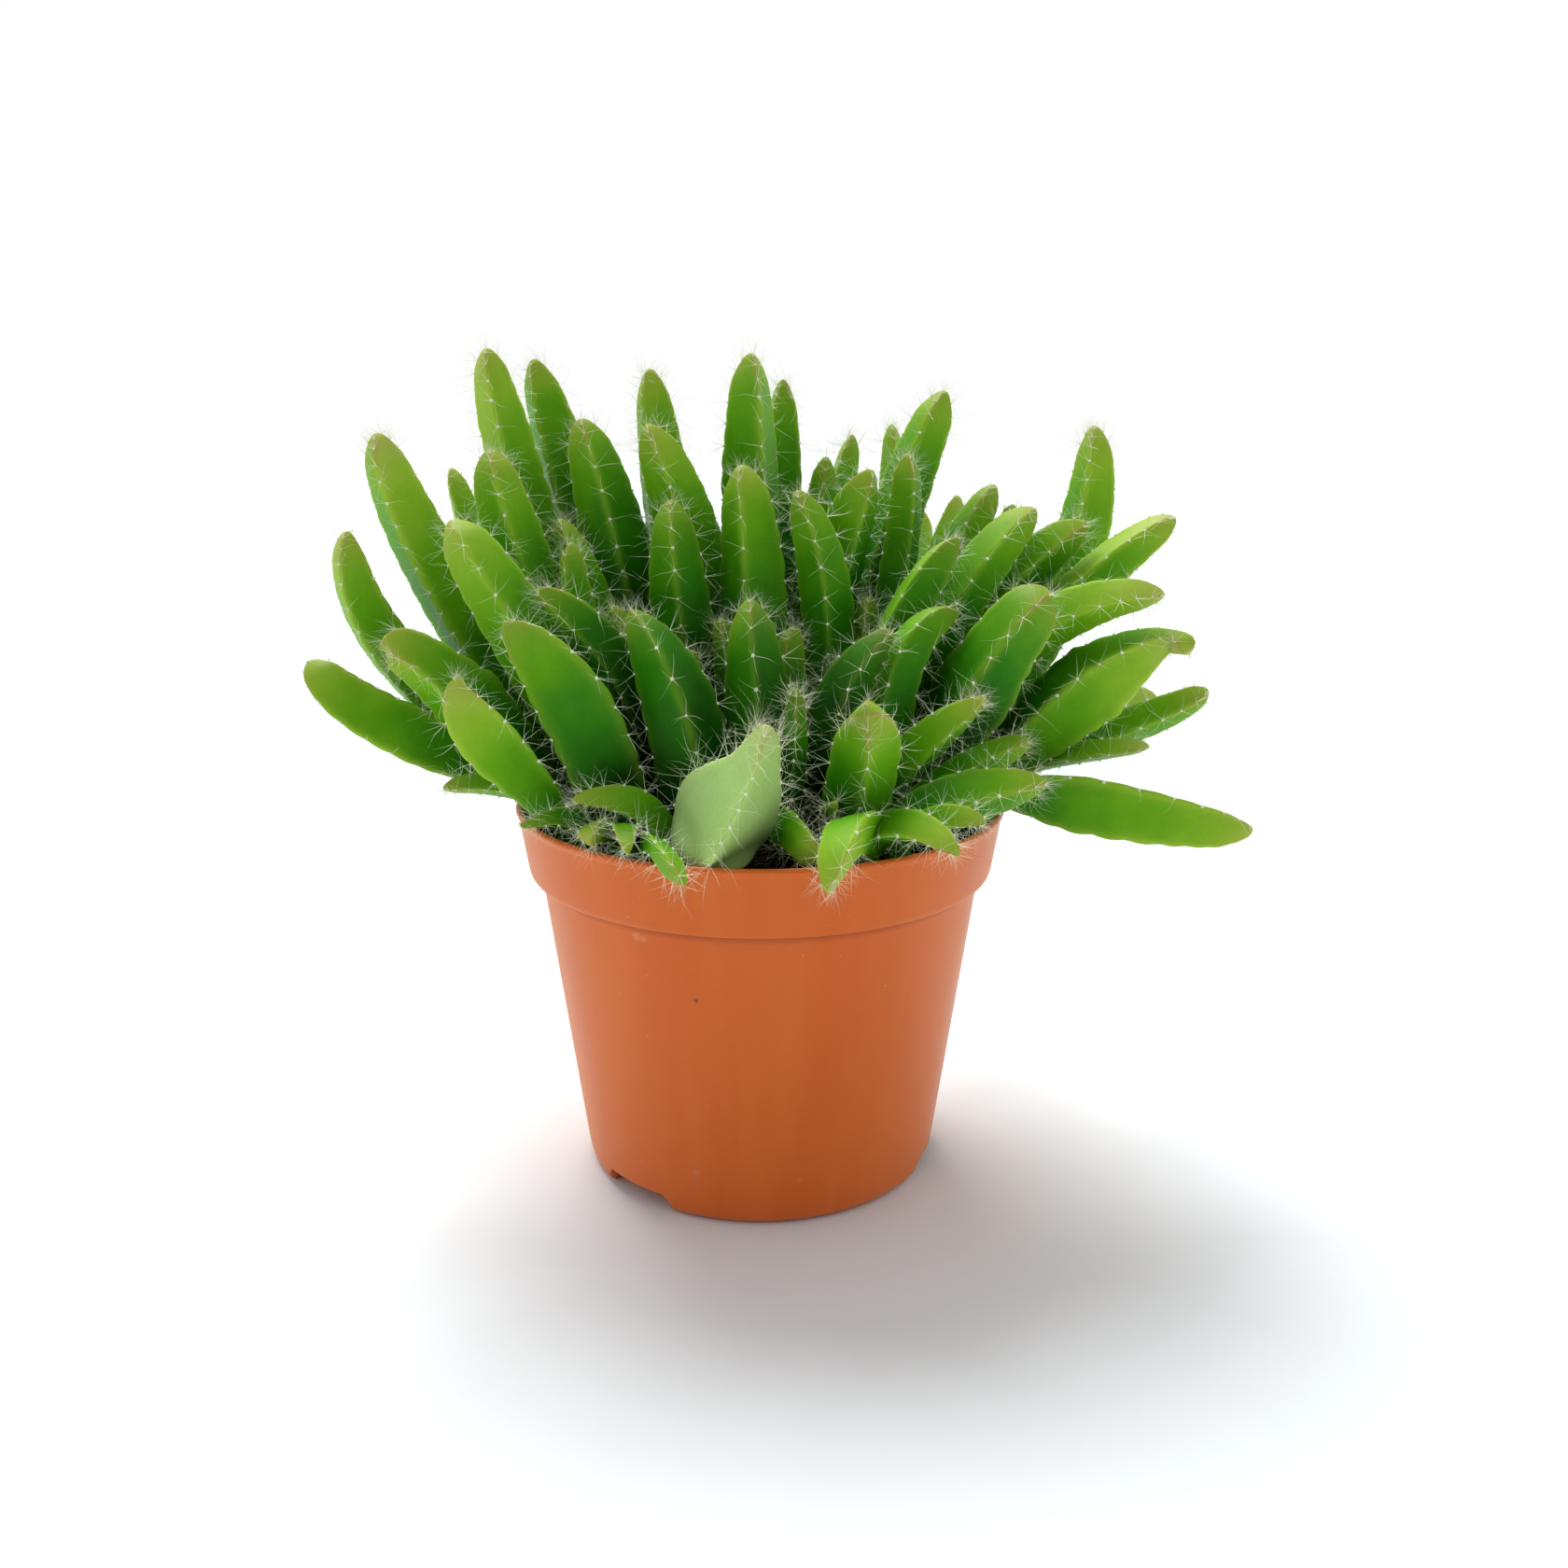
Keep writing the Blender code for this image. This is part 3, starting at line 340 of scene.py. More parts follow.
def curveRuns(ends, places):
    # the curve's derivative made unit length, and its bend radius |v|^3 / |v x a|
    steps = np.diff(ends, axis=0)
    bends = np.diff(steps, axis=0)
    share = places[:, None]
    rest = 1 - share
    speed = 3 * (rest ** 2 * steps[0] + 2 * share * rest * steps[1] + share ** 2 * steps[2])
    turning = 6 * (rest * bends[0] + share * bends[1])
    pace = np.linalg.norm(speed, axis=1)
    sideways = np.linalg.norm(np.cross(speed, turning), axis=1)
    return speed / pace[:, None], pace ** 3 / np.maximum(sideways, 1e-9)


class StemCrowd:
    # every stem's foot, elbow and tip, and the radius along it; stems push one another aside

    def __init__(self, plants):
        rows = [(number, *stem) for number, plant in enumerate(plants) for stem in plant if len(stem) > 2]
        table = np.array(rows, float)
        self.plant = table[:, 0].astype(int)
        self.tip = table[:, 1:4].copy()
        self.width = table[:, 4]
        self.ribs = table[:, 5].astype(int)
        self.turn = np.radians(table[:, 6])
        self.radius = table[:, 4] * np.array([growth["widthToRadius"][ribs] for ribs in self.ribs])
        numbers = range(len(plants))
        means = np.array([self.tip[self.plant == number].mean(axis=0) for number in numbers])
        reach = np.hypot(means[:, 0], means[:, 1])
        share = growth["footLimit"] * (1 - np.exp(-reach / growth["footReach"])) / reach
        self.feet = means[:, :2] * share[:, None]
        for number, plant in enumerate(plants):
            if len(plant[0]) == 2:
                self.feet[number] = plant[0]

        span = self.tip - self.footPoints()
        length = np.linalg.norm(span, axis=1)
        flat = np.hypot(span[:, 0], span[:, 1])
        lean = np.radians(table[:, 7])
        sideways = span[:, :2] / flat[:, None] * np.sin(lean)[:, None]
        way = np.column_stack([sideways, np.cos(lean)])
        self.elbow = self.tip - way * growth["elbowBack"] * length[:, None]
        self.lying = table[:, 7:] > growth["lyingLeanDeg"]

        self.lift = np.minimum(growth["footLift"], growth["footLiftShare"] * length)
        for held, lift in growth["heldPlants"].items():
            self.lift[self.plant + 1 == held] = lift
        self.plans = [ringPlan(*pair) for pair in zip(length, table[:, 4])]
        pointsAlong = growth["pointsAlong"]
        self.place = np.zeros((len(table), pointsAlong))
        self.girth = np.zeros_like(self.place)
        self.weights = np.zeros((len(table), pointsAlong, 4))
        for number, (places, _) in enumerate(self.plans):
            rings = np.arange(len(places))
            counts = np.linspace(0, rings[-1], pointsAlong)
            self.place[number] = np.interp(counts, rings, places)
            self.girth[number] = np.interp(counts, rings, self.ringRadii(number))
            for end, weight in enumerate(curveWeights(places).T):
                self.weights[number, :, end] = np.interp(counts, rings, weight)
        self.wholeGirth = self.girth.copy()

    def footPoints(self):
        feet = self.feet[self.plant]
        return np.column_stack([feet, np.full(len(feet), soil["top"] + growth["footRise"])])

    def curveEnds(self):
        feet = self.footPoints()
        above = feet + self.lift[:, None] * np.array([0, 0, 1.0])
        return np.stack([feet, above, self.elbow, self.tip], axis=1)

    def ringRadii(self, number):
        radii = self.radius[number] * self.plans[number][1]
        radii[0] = growth["footRadius"]
        radii[1] = max(radii[1], growth["neck"] * growth["footRadius"])
        return radii

    def samples(self):
        return np.einsum("spk,skc->spc", self.weights, self.curveEnds())

    def nearPairs(self, points):
        low = points.min(axis=1) - self.radius[:, None] - growth["pairMargin"] / 2
        high = points.max(axis=1) + self.radius[:, None] + growth["pairMargin"] / 2
        first, second = np.triu_indices(len(points), 1)
        apart = (low[first] > high[second]) | (low[second] > high[first])
        keep = ~apart.any(axis=1)
        return first[keep], second[keep]

    def pushBetweenStems(self, pairs, points, shift):
        first, second = pairs
        offset = points[first][:, :, None] - points[second][:, None]
        distance = np.linalg.norm(offset, axis=3) + 1e-9
        wanted = self.girth[first][:, :, None] + self.girth[second][:, None] + growth["stemGap"]
        overlap = np.maximum(0, wanted - distance)
        own = self.plant[first] == self.plant[second]
        upper = self.place > growth["splitPlace"]
        both = upper[first][:, :, None] & upper[second][:, None]
        overlap[own] *= both[own]
        push = offset / distance[..., None] * overlap[..., None] / 2
        np.add.at(shift, first, push.sum(axis=2))
        np.add.at(shift, second, -push.sum(axis=1))

    def rimDistance(self, points):
        reach = np.hypot(points[..., 0], points[..., 1])
        aside = reach - (pot["rimRadius"] - pot["wall"] / 2)
        above = np.maximum(0, points[..., 2] - pot["height"])
        return aside, above, np.hypot(aside, above) + 1e-9

    def pushFromPot(self, points, shift):
        aside, above, distance = self.rimDistance(points)
        free = self.place > growth["lowerPlaces"][0] / 2
        sunk = soil["top"] + growth["soilGap"] + self.girth - points[..., 2]
        shift[..., 2] += np.where((aside < 0) & free, np.maximum(0, sunk), 0)
        overlap = np.maximum(0, self.girth + pot["wall"] / 2 + growth["rimGap"] - distance)
        beside = (above == 0) & (overlap > 0)
        shift[..., 2] += above / distance * overlap + np.where(beside, growth["rimLift"], 0)
        reach = np.linalg.norm(points[..., :2], axis=-1, keepdims=True) + 1e-9
        shift[..., :2] += points[..., :2] / reach * (aside / distance * overlap)[..., None]

    def pushFeetApart(self):
        offset = self.feet[:, None] - self.feet[None]
        distance = np.linalg.norm(offset, axis=2) + np.eye(len(self.feet)) * 1e6
        wide = 2 * (growth["footRadius"] + soil["clearance"]) / math.cos(math.pi / growth["holeSides"])
        overlap = np.maximum(0, wide + growth["footGap"] - distance)
        self.feet += (offset / distance[..., None] * overlap[..., None]).sum(axis=1) / 2
        reach = np.hypot(*self.feet.T)
        self.feet *= np.minimum(1, growth["footLimit"] / np.maximum(reach, 1e-9))[:, None]

    def settle(self):
        wantedTip = self.tip.copy()
        wantedElbow = self.elbow.copy()
        wantedFeet = self.feet.copy()
        held = np.isin(np.arange(len(self.feet)) + 1, list(growth["heldPlants"]))[:, None]
        tipHold = np.where(held[self.plant], growth["heldHold"], np.array(growth["tipHold"]))
        elbowHold = np.where(self.lying, growth["lyingHold"], growth["elbowHold"])
        elbowHold = np.where(held[self.plant], growth["heldHold"], elbowHold)
        footHold = np.where(held, growth["heldHold"], growth["footHold"])
        for number in range(growth["pushRounds"]):
            points = self.samples()
            if number % growth["pairRounds"] == 0:
                pairs = self.nearPairs(points)
            shift = np.zeros_like(points)
            self.pushBetweenStems(pairs, points, shift)
            self.pushFromPot(points, shift)
            moves = np.einsum("spk,spc->skc", self.weights, shift) * growth["pushStep"]
            largest = np.linalg.norm(moves, axis=2, keepdims=True)
            moves *= np.minimum(1, growth["mostMove"] / np.maximum(largest, 1e-9))
            np.add.at(self.feet, self.plant, moves[:, 0, :2] + moves[:, 1, :2])
            self.elbow += moves[:, 2]
            self.tip += moves[:, 3]
            self.tip += (wantedTip - self.tip) * tipHold
            self.elbow += (wantedElbow - self.elbow) * elbowHold
            self.feet += (wantedFeet - self.feet) * footHold
            self.pushFeetApart()

    def pressThinner(self):
        points = self.samples()
        _, _, distance = self.rimDistance(points)
        room = distance - pot["wall"] / 2 - growth["rimPressGap"]
        self.girth = np.minimum(self.girth, np.maximum(room, growth["leastRadius"]))
        first, second = self.nearPairs(points)
        other = self.plant[first] != self.plant[second]
        first = first[other]
        second = second[other]
        offset = points[first][:, :, None] - points[second][:, None]
        distance = np.linalg.norm(offset, axis=3)
        for _ in range(growth["pressRounds"]):
            wanted = self.girth[first][:, :, None] + self.girth[second][:, None] + growth["pressGap"]
            overlap = np.maximum(0, wanted - distance) / 2
            cut = np.zeros_like(self.girth)
            np.maximum.at(cut, first, overlap.max(axis=2))
            np.maximum.at(cut, second, overlap.max(axis=1))
            self.girth = np.maximum(self.girth - cut, growth["leastRadius"])

    def ringsOf(self, number):
        # places and radii at the rings that the solids have
        places, _ = self.plans[number]
        _, bend = curveRuns(self.curveEnds()[number], places)
        pressed = np.pad(self.girth[number] / self.wholeGirth[number], 1, mode="edge")
        narrow = np.min([pressed[k:k + growth["pointsAlong"]] for k in range(3)], axis=0)
        radii = self.ringRadii(number) * np.interp(places, self.place[number], narrow)
        return places, np.minimum(radii, growth["bendShare"] * bend)


crowd = StemCrowd(plantTable + backPlants())
crowd.settle()
crowd.pressThinner()
print("stems settled:", len(crowd.plant), "stems of", crowd.plant.max() + 1, "plants")


# The stems

stemLook = {
    "rowStep": 1.2, "leastRows": 12, "finePlaces": 400, "columnsPerRib": {3: 14, 4: 11, 5: 9},
    "crestRound": 0.075, "crestWidth": 0.2, "crestCrowding": 1.35, "faceBulge": (-0.02, 0.07),
    "bulgeLength": 26, "areolePlaces": 60, "pitch": (4.8, 6.8), "slimPitch": (0.75, 1),
    "fullWidth": 12, "tipPitch": (0.2, 0.17), "pitchSpread": (0.88, 1.12), "firstAreole": (0.7, 1.5),
    "oddRibLater": 0.9, "lastAreole": 3, "footBare": 2.5, "scallop": 0.07, "fullSpacing": 6,
    "domeLength": 5.0, "domeShare": 0.3, "domeRows": 9, "domeEnd": 0.004, "tipRise": 0.2, "ribStart": 1,
    "ribRun": 6, "swell": 0.024, "swellSize": 14, "noiseShift": 997, "seed": 41, "toneSpread": 0.06,
    # openHeight to frontReach: how the painted light and shade share on the stems grows with height and with
    # reach out from the middle
    "faceTone": 0.07, "openHeight": 80, "heightPower": 1.3, "heightShare": 0.62, "openReach": (38, 80),
    "reachShare": 0.8, "frontReach": 1.4, "tipLength": 15, "blushLength": 5.5, "blushPower": 1.5,
    # the pale broad stem at the front: paler, closer areoles, and widest low down like a kite
    "paleStems": {45: 0.62}, "closePitch": {45: 2.9}, "crisp": {45: 0.035},
    "kite": {45: ((0, 0.06, 0.17, 0.28, 0.42, 0.6, 0.76, 0.92, 1),
                  (0.6, 0.8, 1.34, 1.2, 0.98, 0.82, 0.75, 0.78, 0.95))},
}


def monotone(places, values, wanted):
    # piecewise cubic through the values, its slopes the harmonic means of its neighbours' (no overshoot)
    steps = np.diff(places)
    slopes = np.diff(values) / steps
    inner = slopes[:-1] * slopes[1:] > 0
    both = 2 * slopes[:-1] * slopes[1:] / np.where(inner, slopes[:-1] + slopes[1:], 1)
    tangents = np.concatenate([slopes[:1], np.where(inner, both, 0), slopes[-1:]])
    cell = np.clip(np.searchsorted(places, wanted, side="right") - 1, 0, len(steps) - 1)
    part = (wanted - places[cell]) / steps[cell]
    value = values[cell] * (1 + 2 * part) * (1 - part) ** 2 + values[cell + 1] * part ** 2 * (3 - 2 * part)
    slope = tangents[cell] * part * (1 - part) ** 2 - tangents[cell + 1] * part ** 2 * (1 - part)
    return value + steps[cell] * slope


def untwistedWays(runs, turn):
    # a way across each ring, first the front, carried up the stem without twist, then turned to a rib
    facing = np.zeros_like(runs)
    last = np.array([0, -1.0, 0])
    for ring, run in enumerate(runs):
        last = last - run * (last @ run)
        last = last / np.linalg.norm(last)
        facing[ring] = last
    across = facing * math.cos(turn) - np.cross(runs, facing) * math.sin(turn)
    return across, np.cross(runs, across)


class Stem:
    # one stem as a surface of two parameters, the way along it and the angle about it

    def __init__(self, number):
        self.number = number
        draw = random.Random(stemLook["seed"] * 1000 + number)
        self.ribs = int(crowd.ribs[number])
        self.ends = crowd.curveEnds()[number]
        self.ringPlaces, ringRadii = crowd.ringsOf(number)
        self.rooted = number == np.flatnonzero(crowd.plant == crowd.plant[number])[0]
        if not self.rooted:
            ringRadii[0] *= growth["branchFoot"]
        plantNumber = int(crowd.plant[number]) + 1
        if plantNumber in stemLook["kite"]:
            ringRadii = ringRadii * np.interp(self.ringPlaces, *stemLook["kite"][plantNumber])
        self.ringSquares = ringRadii ** 2
        self.ringSquares[-1] = 0
        # length along the curve at fine places
        self.finePlaces = np.linspace(0, 1, stemLook["finePlaces"])
        finePoints = curveWeights(self.finePlaces) @ self.ends
        steps = np.linalg.norm(np.diff(finePoints, axis=0), axis=1)
        self.fineLengths = np.concatenate([[0], np.cumsum(steps)])
        self.length = self.fineLengths[-1]
        slim = between(stemLook["slimPitch"], min(1, crowd.width[number] / stemLook["fullWidth"]))
        self.pitch = draw.uniform(*stemLook["pitch"]) * slim
        self.pitch = stemLook["closePitch"].get(plantNumber, self.pitch)
        self.tone = draw.gauss(0, stemLook["toneSpread"])
        self.pale = stemLook["paleStems"].get(plantNumber, 0)
        self.crestRound = stemLook["crisp"].get(plantNumber, stemLook["crestRound"])
        self.areoleBacks = [self.areoleRow(draw, rib) for rib in range(self.ribs)]
        self.noiseSeed = draw.randrange(10 ** 6)
        self.faceTones = np.array([draw.gauss(0, stemLook["faceTone"]) for _ in range(self.ribs)])

    def areoleRow(self, draw, rib):
        # distances back from the tip to each areole of a rib: close set at the tip, a pitch apart below
        backs = [draw.uniform(*stemLook["firstAreole"]) + stemLook["oddRibLater"] * (rib % 2)]
        first, more = stemLook["tipPitch"]
        while backs[-1] < self.length - stemLook["lastAreole"]:
            step = self.pitch * min(1, first + more * len(backs)) * draw.uniform(*stemLook["pitchSpread"])
            backs.append(backs[-1] + step)
        return np.array(backs)

    def radiusAt(self, places):
        return np.sqrt(np.maximum(monotone(self.ringPlaces, self.ringSquares, places), 0))

    def frameAt(self, places):
        centres = curveWeights(places) @ self.ends
        runs, _ = curveRuns(self.ends, places)
        across, aside = untwistedWays(runs, float(crowd.turn[self.number]))
        return centres, runs, across, aside

    def crestFactor(self, back, rib):
        # 1 at an areole, and up to 1 + scallop halfway to the next: |sin(pi count)|
        backs = self.areoleBacks[rib]
        count = np.interp(back, backs, np.arange(len(backs)))
        spacing = np.interp(back, backs, np.gradient(backs))
        waves = stemLook["scallop"] * np.abs(np.sin(np.pi * count))
        return 1 + waves * np.minimum(1, spacing / stemLook["fullSpacing"])

    def section(self, ripe):
        # polar outline of the section for each row: the chord between two crests,
        # cos(b) / cos(b - a), with its crest rounded and its face bulged by h (1 - ((b - a) / b)^2)
        perRib = stemLook["columnsPerRib"][self.ribs]
        half = math.pi / self.ribs
        steps = (np.arange(perRib) - perRib // 2) / (perRib / 2)
        aways = half * np.sign(steps) * np.abs(steps) ** stemLook["crestCrowding"]
        angles = (np.arange(self.ribs)[:, None] * 2 * half + aways[None]).ravel()
        rounded = np.minimum(np.sqrt(aways ** 2 + self.crestRound ** 2), half)
        chord = math.cos(half) / np.cos(half - rounded)
        crest = math.cos(half) / math.cos(half - self.crestRound)
        face = 1 - ((half - np.abs(aways)) / half) ** 2
        outline = (chord / crest)[None] + between(stemLook["faceBulge"], ripe)[:, None] * face[None]
        crestness = np.exp(-(aways / stemLook["crestWidth"]) ** 2)
        before = np.roll(self.faceTones, 1)[:, None]
        after = self.faceTones[:, None]
        tones = np.where(aways < 0, before, np.where(aways > 0, after, (before + after) / 2))
        return angles, np.tile(outline, (1, self.ribs)), np.tile(crestness, self.ribs), tones.ravel()

    def rowLengths(self):
        # distances from the foot to each row of points: even steps, then closer ones round the tip
        straight = max(stemLook["leastRows"], int(self.length / stemLook["rowStep"]))
        dome = min(stemLook["domeLength"], stemLook["domeShare"] * self.length)
        turns = np.linspace(0, np.pi / 2, stemLook["domeRows"])[1:-1]
        fromTip = dome * np.append(1 - np.sin(turns), stemLook["domeEnd"])
        return np.concatenate([np.linspace(0, self.length - dome, straight), self.length - fromTip])

    def surface(self):
        # P(t, a) = C(t) + r(t) outline(a) (across cos a + aside sin a), with C the cubic curve
        lengths = self.rowLengths()
        places = np.interp(lengths, self.fineLengths, self.finePlaces)
        centres, runs, across, aside = self.frameAt(places)
        radii = self.radiusAt(places)
        if self.rooted:
            # one more ring, straight below the foot
            centres = np.vstack([centres[:1] - np.array([0, 0, growth["footDepth"]]), centres])
            across, aside = [np.vstack([ways[:1], ways]) for ways in (across, aside)]
            radii = np.append(radii[0], radii)
            lengths = np.append(-growth["footDepth"], lengths)
        back = self.length - lengths
        angles, outline, crestness, tones = self.section(np.exp(-back / stemLook["bulgeLength"]))
        crest = np.stack([self.crestFactor(back, rib) for rib in range(self.ribs)], axis=1)
        crest = np.repeat(crest, stemLook["columnsPerRib"][self.ribs], axis=1)
        ribbed = np.clip((lengths - stemLook["ribStart"]) / stemLook["ribRun"], 0, 1)[:, None]
        reach = radii[:, None] * (1 + (outline * (1 + (crest - 1) * crestness[None]) - 1) * ribbed)
        rows, columns = reach.shape
        ways = waysAbout(across, aside, angles)
        points = centres[:, None] + ways * reach[..., None]
        shifted = points.reshape(-1, 3) + self.noiseSeed % stemLook["noiseShift"]
        swell = smoothNoise(shifted, stemLook["swellSize"], self.noiseSeed, 2).reshape(reach.shape)
        points = points + ways * (reach * swell * stemLook["swell"])[..., None]
        tip = centres[-1] + runs[-1] * radii[-1] * stemLook["tipRise"]
        points = np.vstack([points.reshape(-1, 3), tip, centres[0]])
        x, y, z = points.T
        # painted light and shade, partly age: this share grows with height above the soil and with reach from
        # the middle, front stems counting as farther out, and it lightens the green
        high = np.clip((z - soil["top"]) / stemLook["openHeight"], 0, 1) ** stemLook["heightPower"]
        near, far = stemLook["openReach"]
        away = np.hypot(x, y * np.where(y < 0, stemLook["frontReach"], 1))
        wide = np.clip((away - near) / (far - near), 0, 1)
        along = np.append(np.repeat(back, columns), [0, self.length])
        facts = {
            "tipness": np.exp(-along / stemLook["tipLength"]),
            "blush": np.exp(-(along / stemLook["blushLength"]) ** stemLook["blushPower"]),
            "ridge": np.append(np.tile(crestness ** 2, rows), [1, 0]),
            "open": 1 - (1 - high * stemLook["heightShare"]) * (1 - wide * stemLook["reachShare"]),
            "tone": self.tone + np.append(np.tile(tones, rows), [0, 0]),
            "pale": np.full(len(points), self.pale),
        }
        return points, *tubeFaces(rows, columns), facts

    def areoles(self):
        # for each areole its centre, outward way, run, distance back, stem number and paleness
        rows = []
        for rib, backs in enumerate(self.areoleBacks):
            backs = backs[backs < self.length - stemLook["footBare"]][::-1]
            places = np.interp(self.length - backs, self.fineLengths, self.finePlaces)
            everyPlace = np.union1d(places, np.linspace(0, 1, stemLook["areolePlaces"]))
            centres, _, across, aside = self.frameAt(everyPlace)
            angle = 2 * math.pi * rib / self.ribs
            ways = across * math.cos(angle) + aside * math.sin(angle)
            points = centres + ways * self.radiusAt(everyPlace)[:, None]
            slopes = unit(np.gradient(points, axis=0))
            normals = unit(squareTo(ways, slopes))
            pick = np.searchsorted(everyPlace, places)
            same = np.tile([self.number, self.pale], (len(pick), 1))
            rows.append(np.column_stack([points[pick], normals[pick], slopes[pick], backs, same]))
        return np.vstack(rows)


stems = [Stem(number) for number in range(len(crowd.plant))]


skinLook = {
    "greens": [(0.0, "#082803"), (0.15, "#154B04"), (0.35, "#2F7C05"), (0.6, "#64A60A"), (0.8, "#8DBA28"),
               (1.0, "#B3CC57")],
    "margin": "#B9D44A", "marginShare": 0.56, "blush": "#A4744E", "blushByRidge": (0.9, 0.55),
    # openShare: how much the painted light and age share lightens the green
    "pale": "#CBE897", "base": 0.1, "openShare": 0.6, "tipShare": 0.3, "patchShare": 0.26,
    "brightness": (0.96, 1.04), "mottleSize": 0.9, "patchSize": 9.0, "cellSize": 0.35, "mottleRelief": 2.0,
    "bump": 0.16, "bumpDepth": 0.08, "specular": 0.2, "roughness": (0.42, 0.56), "ior": 1.32,
    "subsurface": 0.22, "subsurfaceRadius": (0.5, 1.0, 0.15), "subsurfaceDepth": 2.2,
}
noiseSpan = {"From Min": 0.3, "From Max": 0.7}


def cactusSkin():
    # Waxy epidermis of a young climbing cactus: satin, thin-skinned and slightly see-through, so light
    # softens inside it. Darker low in the crowd and towards its middle, partly older tissue and partly
    # painted shade; yellow-green high up and on the outer and front stems as painted light, and at the
    # growing tips.
    smooth, rough = skinLook["roughness"]
    material, tree, shader = newMaterial("waxyCactusSkin", rough, skinLook["ior"])
    place = addNode(tree, "TexCoord", output="Object")
    tipness, blush, ridge, lightAndAge, tone, pale = [
        addNode(tree, "Attribute", settings={"attribute_name": name}, output="Fac")
        for name in ("tipness", "blush", "ridge", "open", "tone", "pale")
    ]
    patches = addNode(tree, "TexNoise", {
        "Vector": place, "Scale": 1 / (skinLook["patchSize"] * mm), "Detail": 2.0, "Roughness": 0.5})
    mottle = addNode(tree, "TexNoise", {
        "Vector": place, "Scale": 1 / (skinLook["mottleSize"] * mm), "Detail": 3.0, "Roughness": 0.6})
    patchShare = skinLook["patchShare"]
    least = skinLook["base"] - patchShare / 2
    shift = addNode(tree, "Math", {0: patches, 1: patchShare, 2: least}, multiplyAdd)
    # the painted light and age share lifts the green towards yellow
    ripe = addNode(tree, "Math", {0: lightAndAge, 1: skinLook["openShare"], 2: tone}, multiplyAdd)
    ripe = addNode(tree, "Math", {0: tipness, 1: skinLook["tipShare"], 2: ripe}, multiplyAdd)
    ripe = addNode(tree, "Math", {0: ripe, 1: shift}, {"operation": "ADD", "use_clamp": True})
    colour = addNode(tree, "ValToRGB", {"Fac": ripe})
    rampStops(colour.node, skinLook["greens"])
    # paler rib margins, shown mostly where the painted light falls
    share = addNode(tree, "Math", {0: ridge, 1: lightAndAge}, multiply)
    share = addNode(tree, "Math", {0: share, 1: skinLook["marginShare"]}, multiply)
    colour = addNode(tree, "Mix", {0: share, 6: colour, 7: linear(skinLook["margin"])}, colourMix, 2)
    share = addNode(tree, "Math", {0: blush, 1: mottle}, multiply)
    rise, least = skinLook["blushByRidge"]
    ridgeBlush = addNode(tree, "Math", {0: ridge, 1: rise, 2: least}, multiplyAdd)
    share = addNode(tree, "Math", {0: share, 1: ridgeBlush}, {**multiply, "use_clamp": True})
    colour = addNode(tree, "Mix", {0: pale, 6: colour, 7: linear(skinLook["pale"])}, colourMix, 2)
    colour = addNode(tree, "Mix", {0: share, 6: colour, 7: linear(skinLook["blush"])}, colourMix, 2)
    dim, bright = skinLook["brightness"]
    value = addNode(tree, "MapRange", {"Value": mottle, **noiseSpan, "To Min": dim, "To Max": bright})
    colour = addNode(tree, "HueSaturation", {"Color": colour, "Value": value})
    cells = addNode(tree, "TexVoronoi", {"Vector": place, "Scale": 1 / (skinLook["cellSize"] * mm)})
    relief = addNode(tree, "Math", {0: mottle, 1: skinLook["mottleRelief"], 2: cells}, multiplyAdd)
    bump = addNode(tree, "Bump", {
        "Height": relief, "Strength": skinLook["bump"], "Distance": skinLook["bumpDepth"] * mm})
    gloss = addNode(tree, "MapRange", {"Value": patches, **noiseSpan, "To Min": smooth, "To Max": rough})
    feed(tree, shader, {
        "Base Color": colour, "Normal": bump, "Roughness": gloss, "Specular IOR Level": skinLook["specular"],
        "Subsurface Weight": skinLook["subsurface"], "Subsurface Radius": skinLook["subsurfaceRadius"],
        "Subsurface Scale": skinLook["subsurfaceDepth"] * mm})
    return material


def joined(surfaces):
    # the stems of one plant as one surface
    points, quads, triangles, facts = zip(*surfaces)
    starts = np.cumsum([0, *map(len, points)])
    quads, triangles = [
        np.vstack([rows + start for rows, start in zip(faces, starts)]) for faces in (quads, triangles)]
    facts = {name: np.concatenate([values[name] for values in facts]) for name in facts[0]}
    return np.vstack(points), quads, triangles, facts


skin = cactusSkin()
stemTriangles = 0
for plant in range(crowd.plant.max() + 1):
    surfaces = [stems[number].surface() for number in np.flatnonzero(crowd.plant == plant)]
    points, quads, triangles, facts = joined(surfaces)
    label = f"{plant + 1:02d}"
    makePiece(
        f"plantSkin{label}", points, quads, triangles, skin, "cactus_skin", (f"plant_{label}",), facts)
    stemTriangles += 2 * len(quads) + len(triangles)
print("stems made:", stemTriangles, "triangles")


# Areoles and spines

areoleLook = {
    "radius": (0.3, 0.46), "height": 0.36, "sides": 6, "elevations": (-0.9, 0.25, 0.95), "uneven": (0.8, 1.2),
    "fullBack": 10, "leastSize": 0.35, "overSoil": 2.5, "seed": 9, "colour": "#FFFFF6", "shade": "#D3DDB4",
}

spineLook = {
    "perAreole": (4, 6), "length": (2.4, 7.2), "lengthShape": 1.6, "radius": (0.03, 0.044), "thinning": 0.75,
    "rings": (0.0, 0.55), "tilt": (24, 86), "firstTilt": 0.4, "turnSpread": 0.35, "bend": 0.2,
    "rootLift": 0.05, "tipTuft": 3.6, "tuftExtra": 11, "tuftLength": (2.2, 5.2), "tuftCurl": 1.4,
    "tuftThinner": 0.28, "tuftSpread": (0.3, 1.2), "tuftForward": 0.9, "paleTuft": 2.2, "paleLonger": 0.6,
    "seed": 77, "colour": "#F3FADA", "brown": "#C79F79", "brownShare": (0.0, 0.45),
    # the three pieces, by how far back the stems' tips are
    "sectors": {"spinesFront": (-999, -3), "spinesMiddle": (-3, 30), "spinesBack": (30, 999)},
}


